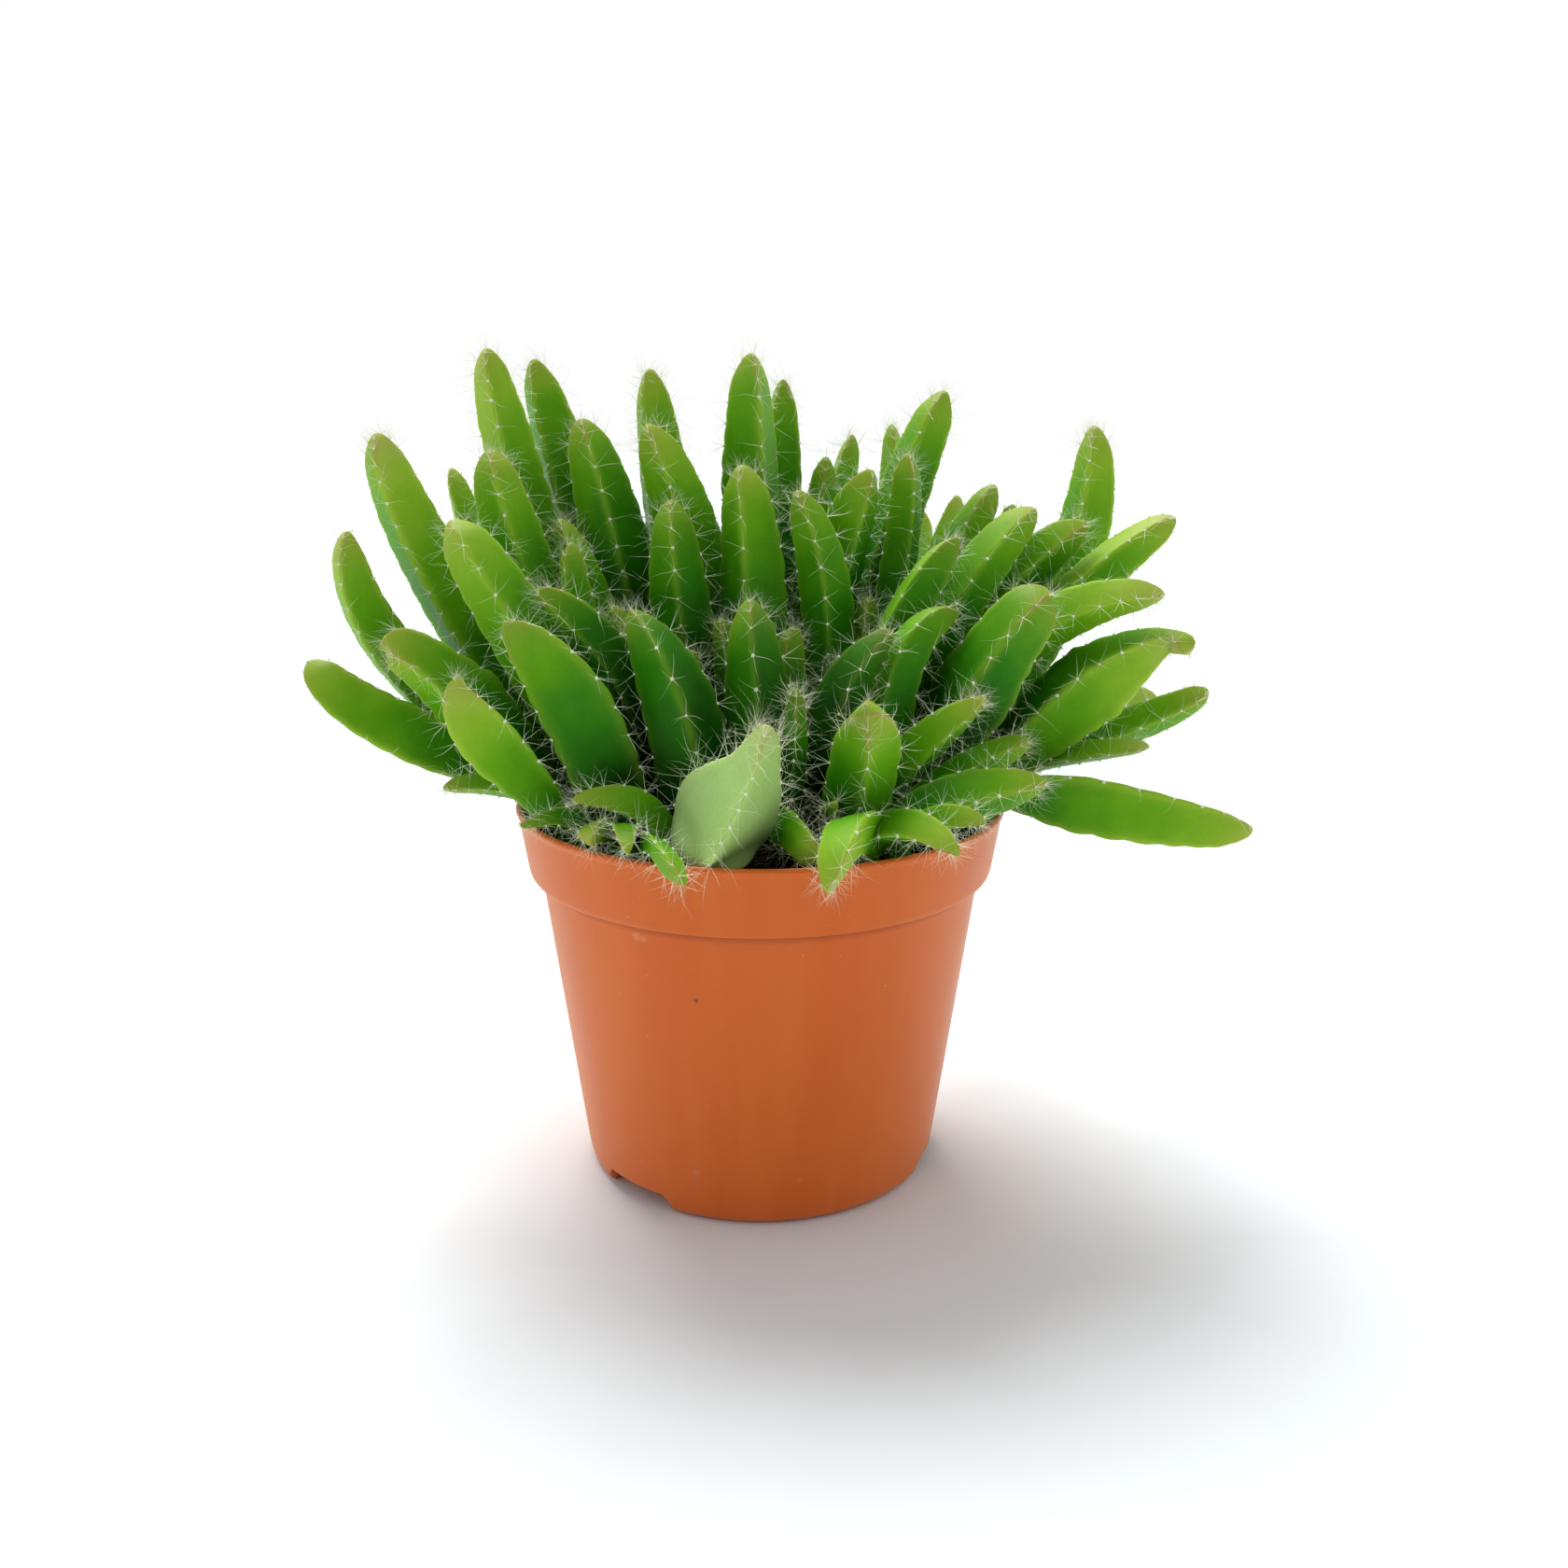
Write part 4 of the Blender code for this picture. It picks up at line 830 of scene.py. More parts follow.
def woolMaterial():
    # Areole felt: very short dense off-white hairs, matt
    material, tree, shader = newMaterial("areoleFelt", 0.95)
    place = addNode(tree, "TexCoord", output="Object")
    fuzz = addNode(tree, "TexNoise", {"Vector": place, "Scale": 2500.0, "Detail": 2.0})
    colours = {6: linear(areoleLook["shade"]), 7: linear(areoleLook["colour"])}
    colour = addNode(tree, "Mix", {0: fuzz, **colours}, colourMix, 2)
    bump = addNode(tree, "Bump", {"Height": fuzz, "Strength": 0.5, "Distance": 0.15 * mm})
    feed(tree, shader, {"Base Color": colour, "Normal": bump})
    return material


def spineMaterial():
    # Young cactus spines: glassy off-white bristles, browner in the tip tufts
    material, tree, shader = newMaterial("glassySpine", 0.35)
    brownness = addNode(tree, "Attribute", settings={"attribute_name": "brownness"}, output="Fac")
    colours = {6: linear(spineLook["colour"]), 7: linear(spineLook["brown"])}
    feed(tree, shader, {"Base Color": addNode(tree, "Mix", {0: brownness, **colours}, colourMix, 2)})
    return material


areoleRows = np.vstack([stem.areoles() for stem in stems])
areoleRows = areoleRows[areoleRows[:, 2] > soil["top"] + areoleLook["overSoil"]]
print("areoles:", len(areoleRows))


def crossWays(normals, slopes):
    # two unit ways square to each normal: up the stem, and to the side
    up = unit(squareTo(slopes, normals))
    return up, np.cross(normals, up)


def makeWool(rows):
    # a dome on each areole: rings at heights h sin(e) and radii r cos(e), closed by a pole
    draw = np.random.default_rng(areoleLook["seed"])
    sides = areoleLook["sides"]
    centres, normals, slopes = rows[:, :3], rows[:, 3:6], rows[:, 6:9]
    size = np.clip(rows[:, 9] / areoleLook["fullBack"], areoleLook["leastSize"], 1)
    height = areoleLook["height"] * size
    radius = draw.uniform(*areoleLook["radius"], len(rows)) * size
    up, side = crossWays(normals, slopes)
    rings = []
    for elevation in areoleLook["elevations"]:
        angles = 2 * np.pi * np.arange(sides) / sides + elevation
        uneven = draw.uniform(*areoleLook["uneven"], (len(rows), sides))
        reach = (np.cos(elevation) * radius)[:, None] * uneven
        middles = centres + normals * (np.sin(elevation) * height)[:, None]
        rings.append(middles[:, None] + waysAbout(up, side, angles) * reach[..., None])
    poles = [(centres + normals * (way * height)[:, None])[:, None] for way in (1, -1)]
    makeMany("areoleFelt", np.concatenate(rings + poles, axis=1), *tubeFaces(len(rings), sides),
             woolMaterial(), "cactus_skin")


def spineStarts(rows):
    # for every areole a star of spines: root, way, bend, length, radius and brownness of each
    draw = np.random.default_rng(spineLook["seed"])
    ofStem = np.random.default_rng(spineLook["seed"] + 1).uniform(*spineLook["tuftSpread"], len(crowd.plant))
    tuft = np.exp(-(rows[:, 9] / spineLook["tipTuft"]) ** 2)
    tuft = tuft * np.maximum(ofStem[rows[:, 10].astype(int)], spineLook["paleTuft"] * rows[:, 11])
    fewest, most = spineLook["perAreole"]
    counts = draw.integers(fewest, most + 1, len(rows)) + (tuft * spineLook["tuftExtra"]).astype(int)
    owner = np.repeat(np.arange(len(rows)), counts)
    order = np.concatenate([np.arange(count) for count in counts])
    turn = 2 * np.pi * order / counts[owner] + draw.uniform(0, 2 * np.pi, len(rows))[owner]
    turn += draw.normal(0, spineLook["turnSpread"], len(owner))
    tilt = np.radians(draw.uniform(*spineLook["tilt"], len(owner)))
    tilt[order == 0] *= spineLook["firstTilt"]
    up, side = crossWays(rows[:, 3:6], rows[:, 6:9])
    nearTip = np.minimum(tuft[owner], 1)
    around = up[owner] * np.cos(turn)[:, None] + side[owner] * np.sin(turn)[:, None]
    ways = rows[owner, 3:6] * np.cos(tilt)[:, None] + around * np.sin(tilt)[:, None]
    ways = unit(ways + rows[owner, 6:9] * (spineLook["tuftForward"] * nearTip)[:, None])
    shape = spineLook["lengthShape"]
    length = between(spineLook["length"], draw.beta(shape, shape, len(owner)))
    tuftLength = draw.uniform(*spineLook["tuftLength"], len(owner))
    length = between((length, tuftLength), nearTip) * (1 + spineLook["paleLonger"] * rows[owner, 11])
    radius = draw.uniform(*spineLook["radius"], len(owner)) * (1 - spineLook["tuftThinner"] * nearTip)
    bends = draw.normal(0, spineLook["bend"], (len(owner), 3))
    bends = squareTo(bends * (1 + spineLook["tuftCurl"] * nearTip)[:, None], ways)
    brown = nearTip * draw.uniform(*spineLook["brownShare"], len(owner))
    roots = rows[owner, :3] + ways * spineLook["rootLift"]
    return roots, ways, bends, length, radius, brown


def makeSpines(name, rows):
    # three-sided bristles S(u) = root + way L u + bend L u^2, thinning as 1 - thinning u to a point
    roots, ways, bends, length, radius, brown = spineStarts(rows)
    helper = np.where(np.abs(ways[:, 2:]) < 0.9, np.array([[0, 0, 1.0]]), np.array([[1.0, 0, 0]]))
    first = unit(np.cross(ways, helper))
    around = waysAbout(first, np.cross(ways, first), 2 * np.pi * np.arange(3) / 3)
    rings = []
    for share in spineLook["rings"]:
        middle = roots + ways * (length * share)[:, None] + bends * (length * share ** 2)[:, None]
        wide = radius * (1 - spineLook["thinning"] * share)
        rings.append(middle[:, None] + around * wide[:, None, None])
    ends = roots + ways * length[:, None] + bends * length[:, None]
    shapes = np.concatenate([*rings, ends[:, None]], axis=1)
    triangles = np.vstack([fanFaces(np.arange(3) + 3, 6), [[2, 1, 0]]])
    makeMany(name, shapes, gridFaces(2, 3), triangles, spine, "cactus_skin",
             facts={"brownness": np.repeat(brown, shapes.shape[1])}, smooth=False)
    print(name, len(roots))


makeWool(areoleRows)
spine = spineMaterial()
tipDepth = crowd.tip[areoleRows[:, 10].astype(int), 1]
for name, (front, back) in spineLook["sectors"].items():
    makeSpines(name, areoleRows[(tipDepth >= front) & (tipDepth < back)])


# The pot

potLook = {
    "centre": "#D0570E", "light": "#E07128", "streakSize": 12, "streakSquash": 0.07, "speck": "#E3A57F",
    "dustSize": 1.1, "dustSpan": (0.77, 0.84), "dustShare": 0.5, "grain": 0.25, "bump": 0.18,
    "bumpDepth": 0.06, "roughness": 0.45, "gloss": (0.36, 0.47), "ior": 1.49, "specular": 0.28,
    # crease: painted shade, a dark line on the wall just under the band's foot, where the band overhangs
    "sheen": 0.15, "sheenTint": "#FFF7B8", "creaseShade": "#5E2008", "creaseShadeShare": 0.4,
    # how far under the band's foot the painted crease shade starts, is full and ends
    "creaseShadeFalls": (2.4, 1.0, 0.3), "markCore": 0.45,
}
archAngles = [math.radians(pot["archFirstDeg"] + turn) - math.pi / 2 for turn in pot["archTurnsDeg"]]


def wallRadius(height):
    ends = (pot["wallFootRadius"], pot["wallTopRadius"])
    return between(ends, height / (pot["height"] - pot["bandHeight"]))


def bandRadius(height):
    ends = (pot["bandFootRadius"], pot["rimRadius"])
    return between(ends, (height - pot["height"] + pot["bandHeight"]) / pot["bandHeight"])


def roundedLine(corners, step=4.0, arc=5, most=0.45):
    # corners (r, z, rounding): each is cut back by its rounding, or by most of a side, and bridged by
    # a parabola
    corners = np.array(corners, float)
    line = [corners[0, :2]]
    for before, here, after in zip(corners, corners[1:], corners[2:]):
        arriving = here[:2] - before[:2]
        leaving = after[:2] - here[:2]
        cut = min(here[2], most * np.linalg.norm(arriving), most * np.linalg.norm(leaving))
        start = here[:2] - arriving / np.linalg.norm(arriving) * cut
        end = here[:2] + leaving / np.linalg.norm(leaving) * cut
        shares = np.linspace(0, 1, arc)[:, None]
        line.extend((1 - shares) ** 2 * start + 2 * shares * (1 - shares) * here[:2] + shares ** 2 * end)
    line.append(corners[-1, :2])
    filled = [line[0]]
    for point in line[1:]:
        gap = np.linalg.norm(point - filled[-1])
        if gap < 1e-4:
            continue
        pieces = max(1, int(math.ceil(gap / step)))
        last = filled[-1]
        filled.extend(last + (point - last) * k / pieces for k in range(1, pieces + 1))
    return np.array(filled)


def archRoof(x, y, margin):
    # height of the drain arches over a point: flat, with a quarter round down at each side
    roof = np.zeros_like(x)
    reach = np.hypot(x, y)
    side = pot["archWidth"] / 2 + margin
    for angle in archAngles:
        out = x * math.cos(angle) + y * math.sin(angle)
        aside = np.abs(-x * math.sin(angle) + y * math.cos(angle))
        corner = np.clip((aside - (side - pot["archRound"])) / pot["archRound"], 0, 1)
        height = pot["archHeight"] + margin - pot["archRound"] * (1 - np.sqrt(1 - corner ** 2))
        over = (aside < side) & (out > pot["archInnerRadius"] - margin) & (reach < pot["archOuterRadius"])
        roof = np.where(over, np.maximum(roof, height), roof)
    return roof


def turnedPiece(line, columns):
    # P(s, a) = (r(s) cos a, r(s) sin a, z(s)); the first and the last point, on the axis, become poles
    angles = 2 * np.pi * np.arange(columns) / columns
    body = line[1:-1]
    points = np.stack([
        body[:, :1] * np.cos(angles)[None], body[:, :1] * np.sin(angles)[None],
        np.repeat(body[:, 1:], columns, axis=1)], axis=-1)
    rows = len(body)
    triangles = np.vstack([
        fanFaces(np.arange(columns), rows * columns, False),
        fanFaces(np.arange(columns) + (rows - 1) * columns, rows * columns + 1)])
    poles = np.array([[0, 0, line[0, 1]], [0, 0, line[-1, 1]]])
    return points, poles, gridFaces(rows, columns), triangles


def potLine():
    ledge = pot["height"] - pot["bandHeight"]
    step = ledge - pot["stepFall"]
    wall, top, floor, band, rim = [
        pot[name] for name in ("wall", "height", "floor", "bandFootRadius", "rimRadius")]
    corner = floor + pot["innerCorner"]
    return roundedLine([
        # underside, foot and wall
        (0, 0, 0), (pot["archInnerRadius"] - 0.2, 0, 0), (pot["archInnerRadius"] + 0.2, 0, 0),
        (wallRadius(3) - 2.2, 0, 1.2), (wallRadius(3) - 0.6, 1.2, 1.2), (wallRadius(3.2), 3.6, 1.4),
        (wallRadius(step), step, 0.35),
        # band and lip
        (band - 0.3, ledge - 0.1, 0.5), (band + 0.05, ledge + 0.9, 0.6),
        (bandRadius(top - 1.9), top - 1.9, 0.15), (bandRadius(top - 1.6) + 0.3, top - 1.45, 0.2),
        (rim + 0.3, top - 0.6, 0.5), (rim - 0.45, top, 0.45),
        # inside, down to the floor
        (rim - 1.15, top - 0.35, 0.4), (bandRadius(top - 1.6) - wall, top - 1.6, 0.3),
        (band - wall, ledge + wall, 0.6), (wallRadius(step) - wall, ledge - 0.2, 0.4),
        (wallRadius(corner) - wall, corner, 0.8), (wallRadius(floor) - wall - pot["innerCorner"], floor, 0.4),
        (0, floor, 0),
    ])


# place on the wall, radius, strength and tint of each single mark
potMarks = [
    ((-12.6, -44.2, 52.6), 0.55, 0.9, "#3A1C12"),
    ((-24.3, -40.8, 64.7), 1.2, 0.32, "#E5A275"),
    ((-22.8, -41.6, 64.5), 0.9, 0.3, "#E5A275"),
    ((14.2, -44.8, 58.1), 0.42, 0.6, "#EFC7A8"),
    ((15.6, -44.3, 58.1), 0.36, 0.6, "#EFC7A8"),
    ((20.4, -42.3, 58.8), 0.34, 0.6, "#EFC7A8"),
    ((-13.0, -37.5, 12.0), 1.4, 0.2, "#DDA684"),
    ((8.0, -38.6, 11.0), 1.2, 0.18, "#DDA684"),
]


def potPlastic():
    # Injection-moulded polypropylene, terracotta coloured: satin, faint flow streaks down the wall,
    # a few pale scuffs and specks of dust, one dark fleck, and painted shade in the crease under the band
    material, tree, shader = newMaterial("terracottaPolypropylene", potLook["roughness"], potLook["ior"])
    place = addNode(tree, "TexCoord", output="Object")
    squashed = addNode(tree, "Mapping", {"Vector": place, "Scale": (1.0, 1.0, potLook["streakSquash"])})
    streaks = addNode(tree, "TexNoise", {
        "Vector": squashed, "Scale": 1 / (potLook["streakSize"] * mm), "Detail": 3.0, "Roughness": 0.55})
    colours = {6: linear(potLook["centre"]), 7: linear(potLook["light"])}
    colour = addNode(tree, "Mix", {0: streaks, **colours}, colourMix, 2)
    dust = addNode(tree, "TexNoise", {
        "Vector": place, "Scale": 1 / (potLook["dustSize"] * mm), "Detail": 1.0})
    none, full = potLook["dustSpan"]
    specks = addNode(tree, "MapRange", {
        "Value": dust, "From Min": none, "From Max": full, "To Max": potLook["dustShare"]})
    colour = addNode(tree, "Mix", {0: specks, 6: colour, 7: linear(potLook["speck"])}, colourMix, 2)
    # painted shade under the band: darkens a thin strip of wall below the band's foot, where the overhang
    # shades it
    height = addNode(tree, "SeparateXYZ", {0: place}, output="Z")
    starts, full, ends = [(pot["height"] - pot["bandHeight"] - fall) * mm for fall in potLook["creaseShadeFalls"]]
    creaseShade = addNode(tree, "MapRange", {
        "Value": height, "From Min": starts, "From Max": full, "To Max": potLook["creaseShadeShare"]})
    below = addNode(tree, "Math", {0: height, 1: ends}, {"operation": "LESS_THAN"})
    creaseShade = addNode(tree, "Math", {0: creaseShade, 1: below}, multiply)
    colour = addNode(tree, "Mix", {0: creaseShade, 6: colour, 7: linear(potLook["creaseShade"])}, colourMix, 2)
    for spot, radius, share, tint in potMarks:
        spot = tuple(value * mm for value in spot)
        away = addNode(tree, "VectorMath", {0: place, 1: spot}, {"operation": "DISTANCE"}, "Value")
        core = radius * potLook["markCore"]
        mask = addNode(tree, "MapRange", {
            "Value": away, "From Min": radius * mm, "From Max": core * mm, "To Max": share})
        colour = addNode(tree, "Mix", {0: mask, 6: colour, 7: linear(tint)}, colourMix, 2)
    grain = addNode(tree, "TexNoise", {"Vector": place, "Scale": 1 / (potLook["grain"] * mm), "Detail": 2.0})
    bump = addNode(tree, "Bump", {
        "Height": grain, "Strength": potLook["bump"], "Distance": potLook["bumpDepth"] * mm})
    smooth, rough = potLook["gloss"]
    gloss = addNode(tree, "MapRange", {"Value": streaks, **noiseSpan, "To Min": smooth, "To Max": rough})
    feed(tree, shader, {
        "Base Color": colour, "Normal": bump, "Roughness": gloss, "Specular IOR Level": potLook["specular"],
        "Sheen Weight": potLook["sheen"], "Sheen Roughness": 0.5, "Sheen Tint": linear(potLook["sheenTint"])})
    return material


def cutDrainHole(piece, angle):
    # a plain hole through the roof of a drain arch
    out, height = pot["drainPlace"], pot["archHeight"] + pot["wall"] / 2
    bpy.ops.mesh.primitive_cylinder_add(
        vertices=pot["drainSides"], radius=pot["drainRadius"] * mm, depth=2 * pot["wall"] * mm,
        location=(out * math.cos(angle) * mm, out * math.sin(angle) * mm, height * mm))
    drill = bpy.context.object
    hole = piece.modifiers.new("drainHole", "BOOLEAN")
    hole.operation = "DIFFERENCE"
    hole.solver = "EXACT"
    hole.object = drill
    bpy.context.view_layer.objects.active = piece
    bpy.ops.object.modifier_apply(modifier=hole.name)
    bpy.data.objects.remove(drill)


def makePot():
    line = potLine()
    points, poles, quads, triangles = turnedPiece(line, pot["columns"])
    x, y, z = np.moveaxis(points, 2, 0)
    # the arches lift both faces of the floor; rows up to the lip are outside
    outside = np.arange(len(points)) <= np.argmax(line[1:-1, 1])
    roof = np.where(outside[:, None], archRoof(x, y, 0), archRoof(x, y, pot["wall"]))
    points[..., 2] = np.maximum(z, roof)
    piece = makePiece("nurseryPot", np.vstack([points.reshape(-1, 3), poles]), quads, triangles,
                      potPlastic(), "terracotta_plastic", ("pot",))
    for angle in archAngles:
        cutDrainHole(piece, angle)


makePot()
print("pot made")


# The soil

soilLook = {
    "rings": 70, "columns": 200, "floorRing": 20, "sunk": 0.35, "bump": 0.75, "bumpSize": 11, "bumpSeed": 3,
    "slump": 0.9, "slumpReach": 46, "slumpRun": 4, "mix": ("#100D0A", "#2E2117", 0.9),
    "crumb": ("#150F0A", "#3A2919", 2.1), "clodSize": 3.5, "crumbs": 3600, "crumbReach": 49.0,
    "crumbSize": (0.35, 1.25), "crumbShape": (1.2, 3.2), "crumbRough": (0.62, 1.25),
    "crumbSquash": (0.55, 1.25), "crumbRaised": 0.25, "fibres": 620, "fibreReach": 48.5, "fibreInner": 0.25,
    "fibreEdge": (43, 49), "fibreLimit": 49.2, "fibreLength": (2.0, 7.0), "fibreCurl": 0.45,
    "fibreLift": (0.05, 0.45), "fibreRadius": (0.05, 0.1), "fibreTaper": 0.6, "fibrePoints": 7,
    "fibreRaised": 0.15, "fibre": "#D3C49E", "fibreDark": "#6B5238", "seed": 15,
}


def soilHeight(x, y):
    # z = top + bumps - a slump against the wall
    flat = np.stack([x, y, np.zeros_like(x)], axis=-1).reshape(-1, 3)
    bumps = smoothNoise(flat, soilLook["bumpSize"], soilLook["bumpSeed"], 4).reshape(x.shape)
    slump = np.clip((np.hypot(x, y) - soilLook["slumpReach"]) / soilLook["slumpRun"], 0, 1) ** 2
    return soil["top"] - soilLook["sunk"] + bumps * soilLook["bump"] - soilLook["slump"] * slump


def peatMaterial(name, dark, brown, size):
    # Peat-based potting mix: near-black decayed fibre with browner crumbs, fully matt
    material, tree, shader = newMaterial(name, 0.95, 1.4)
    place = addNode(tree, "TexCoord", output="Object")
    crumbs = addNode(tree, "TexVoronoi", {"Vector": place, "Scale": 1 / (size * mm)})
    clods = addNode(tree, "TexNoise", {
        "Vector": place, "Scale": 1 / (soilLook["clodSize"] * mm), "Detail": 4.0, "Roughness": 0.65})
    share = addNode(tree, "Math", {0: crumbs.node.outputs["Color"], 1: clods}, multiply)
    colour = addNode(tree, "Mix", {0: share, 6: linear(dark), 7: linear(brown)}, colourMix, 2)
    height = addNode(tree, "Math", {0: crumbs, 1: clods}, {"operation": "ADD"})
    bump = addNode(tree, "Bump", {"Height": height, "Strength": 1.0, "Distance": 0.9 * mm})
    feed(tree, shader, {"Base Color": colour, "Normal": bump, "Specular IOR Level": 0.25})
    return material


def makeSoil():
    # top sheet z(x, y) = soilHeight, then down the pot's inside and across its floor
    inner = pot["wall"] + soil["clearance"]
    floor = pot["floor"] + soil["clearance"]
    corner = floor + pot["innerCorner"]
    ledge = pot["height"] - pot["bandHeight"]
    edge = bandRadius(soil["top"]) - inner
    across = edge * np.sqrt(np.linspace(0, 1, soilLook["rings"] + 1))
    sheet = np.column_stack([across, np.full(len(across), soil["top"])])
    below = [
        (pot["bandFootRadius"] - inner, ledge + inner), (wallRadius(ledge - pot["stepFall"]) - inner, ledge),
        (wallRadius(corner) - inner, corner), (wallRadius(floor) - inner - pot["innerCorner"], floor),
        (soilLook["floorRing"], floor), (0, floor),
    ]
    points, poles, quads, triangles = turnedPiece(np.vstack([sheet, below]), soilLook["columns"])
    x, y, z = np.moveaxis(points, 2, 0)
    onTop = np.arange(len(points)) < soilLook["rings"]
    points[..., 2] = np.where(onTop[:, None], soilHeight(x, y), np.maximum(z, archRoof(x, y, inner)))
    poles[0, 2] = soilHeight(np.zeros(1), np.zeros(1))[0]
    makePiece("pottingSoil", np.vstack([points.reshape(-1, 3), poles]), quads, triangles,
              peatMaterial("peatMix", *soilLook["mix"]), "peat", ("soil",))


def roundedOctahedron():
    # each face is split in four by the middles of its edges, which lie on the unit sphere
    corners = ((1, 0, 0), (-1, 0, 0), (0, 1, 0), (0, -1, 0), (0, 0, 1), (0, 0, -1))
    faces = ((0, 2, 4), (2, 1, 4), (1, 3, 4), (3, 0, 4), (2, 0, 5), (1, 2, 5), (3, 1, 5), (0, 3, 5))
    points = [np.array(corner, float) for corner in corners]
    middles = {}
    split = []
    for a, b, c in faces:
        edges = [frozenset(edge) for edge in ((a, b), (b, c), (c, a))]
        for edge in edges:
            if edge not in middles:
                middles[edge] = len(points)
                points.append(unit(sum(points[corner] for corner in edge)))
        ab, bc, ca = [middles[edge] for edge in edges]
        split += [(a, ab, ca), (b, bc, ab), (c, ca, bc), (ab, bc, ca)]
    return np.array(points), split


def onSoil(reach, angle):
    return np.column_stack([reach * np.cos(angle), reach * np.sin(angle)])


def makeCrumbs():
    # each crumb is a rounded octahedron, made uneven, squashed and turned at random
    draw = np.random.default_rng(soilLook["seed"])
    count = soilLook["crumbs"]
    reach = soilLook["crumbReach"] * np.sqrt(draw.uniform(0.0, 1, count))
    flat = onSoil(reach, draw.uniform(0, 2 * np.pi, count))
    size = between(soilLook["crumbSize"], draw.beta(*soilLook["crumbShape"], count))
    points, triangles = roundedOctahedron()
    shapes = points[None] * draw.uniform(*soilLook["crumbRough"], (count, len(points), 1))
    shapes = shapes * draw.uniform(*soilLook["crumbSquash"], (count, 1, 3))
    turns, _ = np.linalg.qr(draw.normal(size=(count, 3, 3)))
    turns[np.linalg.det(turns) < 0, 0] *= -1
    shapes = np.einsum("nij,nkj->nki", turns, shapes) * size[:, None, None]
    middle = np.column_stack([flat, soilHeight(*flat.T) + size * soilLook["crumbRaised"]])
    makeMany("soilCrumbs", shapes + middle[:, None], [], triangles,
             peatMaterial("peatCrumb", *soilLook["crumb"]), "peat", smooth=False)


def fibreMaterial():
    # Dry roots and moss: pale straw with darker stretches
    material, tree, shader = newMaterial("dryRootFibre", 0.8)
    place = addNode(tree, "TexCoord", output="Object")
    tint = addNode(tree, "TexNoise", {"Vector": place, "Scale": 180.0, "Detail": 2.0})
    colours = {6: linear(soilLook["fibreDark"]), 7: linear(soilLook["fibre"])}
    feed(tree, shader, {"Base Color": addNode(tree, "Mix", {0: tint, **colours}, colourMix, 2)})
    return material


def makeFibres():
    # pale root and moss fibres: arcs F(u) = p + L (u, curl u^2, 2 lift u(1 - u)) with three sides
    draw = np.random.default_rng(soilLook["seed"] + 1)
    count = soilLook["fibres"]
    reach = soilLook["fibreReach"] * np.sqrt(draw.uniform(soilLook["fibreInner"], 1, count))
    reach[::2] = draw.uniform(*soilLook["fibreEdge"], len(reach[::2]))
    start = onSoil(reach, draw.uniform(0, 2 * np.pi, count))
    way = draw.uniform(0, 2 * np.pi, count)
    forward = np.column_stack([np.cos(way), np.sin(way)])
    sideways = np.column_stack([-np.sin(way), np.cos(way)])
    length = draw.uniform(*soilLook["fibreLength"], count)[:, None]
    curl = draw.normal(0, soilLook["fibreCurl"], count)[:, None]
    lift = draw.uniform(*soilLook["fibreLift"], count)[:, None]
    radius = draw.uniform(*soilLook["fibreRadius"], count)[:, None]
    steps = np.linspace(0, 1, soilLook["fibrePoints"])
    flat = (start[:, None] + forward[:, None] * (length * steps)[..., None]
            + sideways[:, None] * (length * curl * steps ** 2)[..., None])
    flat *= np.minimum(1, soilLook["fibreLimit"] / np.linalg.norm(flat, axis=2, keepdims=True))
    z = soilHeight(flat[..., 0], flat[..., 1])
    z = z + soilLook["fibreRaised"] + length * lift * (steps * (1 - steps)) * 2
    line = np.concatenate([flat, z[..., None]], axis=2)
    runs = unit(np.gradient(line, axis=1))
    first = unit(np.cross(runs, np.array([0, 0, 1.0])))
    around = waysAbout(first, np.cross(runs, first), 2 * np.pi * np.arange(3) / 3)
    rings = line[:, :, None] + around * (radius * (1 - soilLook["fibreTaper"] * steps))[..., None, None]
    last = 3 * len(steps) - 3
    ends = [[2, 1, 0], [last, last + 1, last + 2]]
    makeMany("soilFibres", rings.reshape(count, -1, 3), gridFaces(len(steps), 3), ends,
             fibreMaterial(), "peat")


makeSoil()
makeCrumbs()
makeFibres()
print("soil made")


# Floor, light and camera

studio = {
    "floor": "#E8EEF1", "frontLight": 0.3, "sideLight": 1.02, "topLight": 0.52, "background": 1.0,
    "frontEnds": (-0.95, -0.1), "topEnds": (0.3, 0.9), "sunWay": (-0.24, 0.62, 1.0), "sunStrength": 3.2,
    "sunSpreadDeg": 36, "cameraPlace": (0.0, -0.3258, 0.1721), "cameraPitchDeg": 15.01, "lens": 35.57,
    "shiftX": 0.0152,
}


def makeFloor():
    bpy.ops.mesh.primitive_plane_add(size=6, location=(0, 0, 0))
    floor = bpy.context.object
    floor.name = "paleFloor"
    material, tree, shader = newMaterial("paintedFloor", 0.9)
    feed(tree, shader, {"Base Color": linear(studio["floor"]), "Specular IOR Level": 0.1})
    floor.data.materials.append(material)


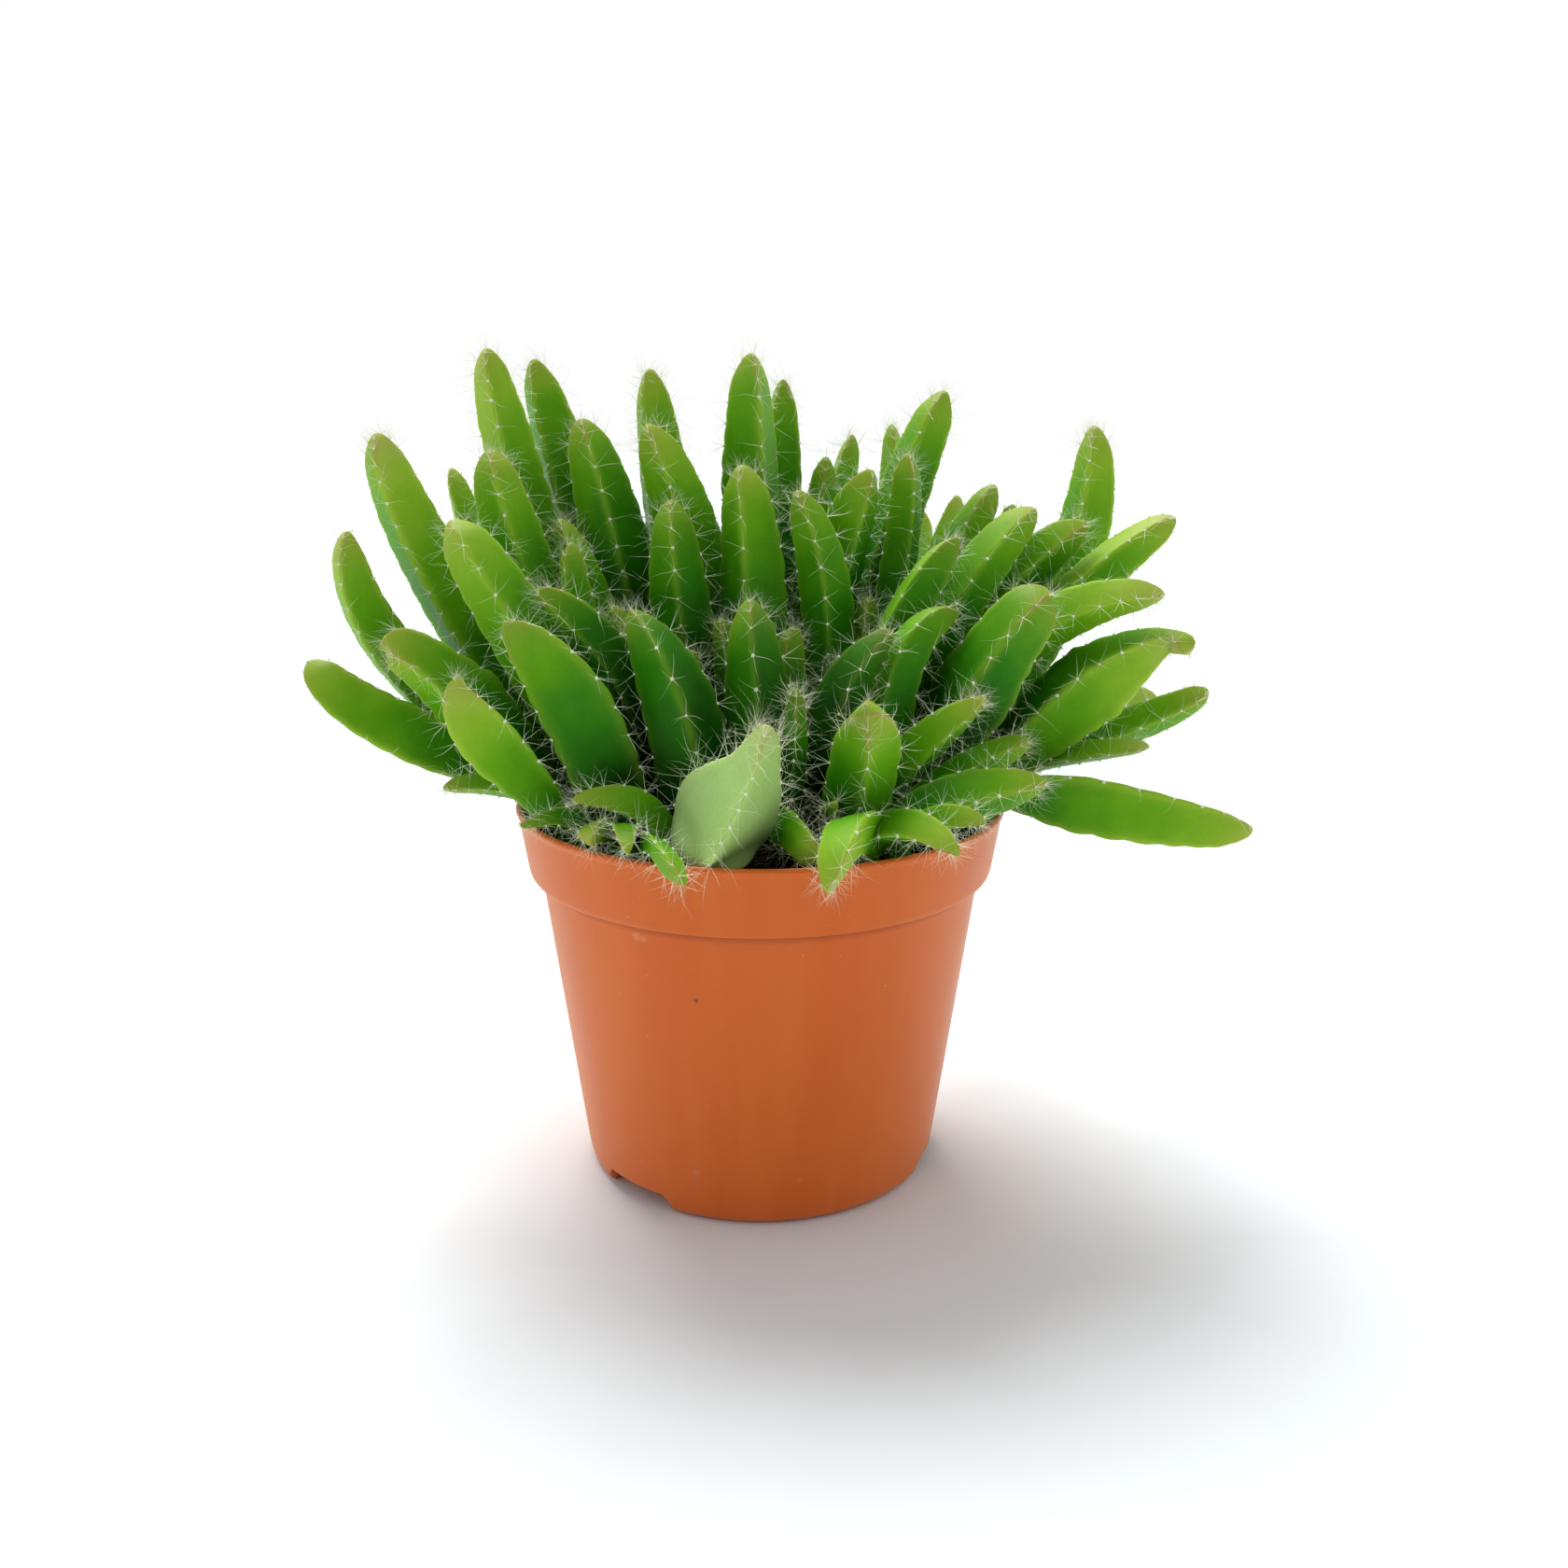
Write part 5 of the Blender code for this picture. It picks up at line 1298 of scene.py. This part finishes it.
def softSun():
    light = bpy.data.lights.new("softSun", "SUN")
    light.energy = studio["sunStrength"]
    light.angle = math.radians(studio["sunSpreadDeg"])
    lamp = bpy.data.objects.new("softSun", light)
    bpy.context.scene.collection.objects.link(lamp)
    lamp.location = studio["sunWay"]
    lamp.rotation_euler = (-Vector(studio["sunWay"])).to_track_quat("-Z", "Y").to_euler()


def whiteTent():
    # dim from the front, bright from the sides and the top, plain white where the camera sees it
    world = bpy.data.worlds.new("whiteStudio")
    world.use_nodes = True
    tree = world.node_tree
    ways = addNode(tree, "SeparateXYZ", {0: addNode(tree, "TexCoord", output="Generated")}).node.outputs
    low, high = studio["frontEnds"]
    smoothStep = {"interpolation_type": "SMOOTHSTEP"}
    around = addNode(tree, "MapRange", {
        "Value": ways["Y"], "From Min": low, "From Max": high,
        "To Min": studio["frontLight"], "To Max": studio["sideLight"]}, smoothStep)
    low, high = studio["topEnds"]
    above = addNode(tree, "MapRange", {"Value": ways["Z"], "From Min": low, "From Max": high}, smoothStep)
    light = addNode(tree, "Mix", {0: above, 2: around, 3: studio["topLight"]}, floatMix)
    seen = addNode(tree, "LightPath", output="Is Camera Ray")
    strength = addNode(tree, "Mix", {0: seen, 2: light, 3: studio["background"]}, floatMix)
    feed(tree, tree.nodes["Background"], {0: (1.0, 1.0, 1.0, 1.0), 1: strength})
    return world


def makeStudio():
    scene = bpy.context.scene
    scene.world = whiteTent()
    softSun()
    scene.view_settings.view_transform = "Standard"
    scene.view_settings.look = "None"
    camera = bpy.data.cameras.new("camera")
    camera.lens = studio["lens"]
    camera.sensor_width = 36
    camera.sensor_fit = "HORIZONTAL"
    camera.shift_x = studio["shiftX"]
    camera.clip_start = 0.01
    cameraObject = bpy.data.objects.new("camera", camera)
    scene.collection.objects.link(cameraObject)
    cameraObject.location = studio["cameraPlace"]
    cameraObject.rotation_euler = (math.radians(90 - studio["cameraPitchDeg"]), 0, 0)
    scene.camera = cameraObject


makeFloor()
makeStudio()
print("studio made")
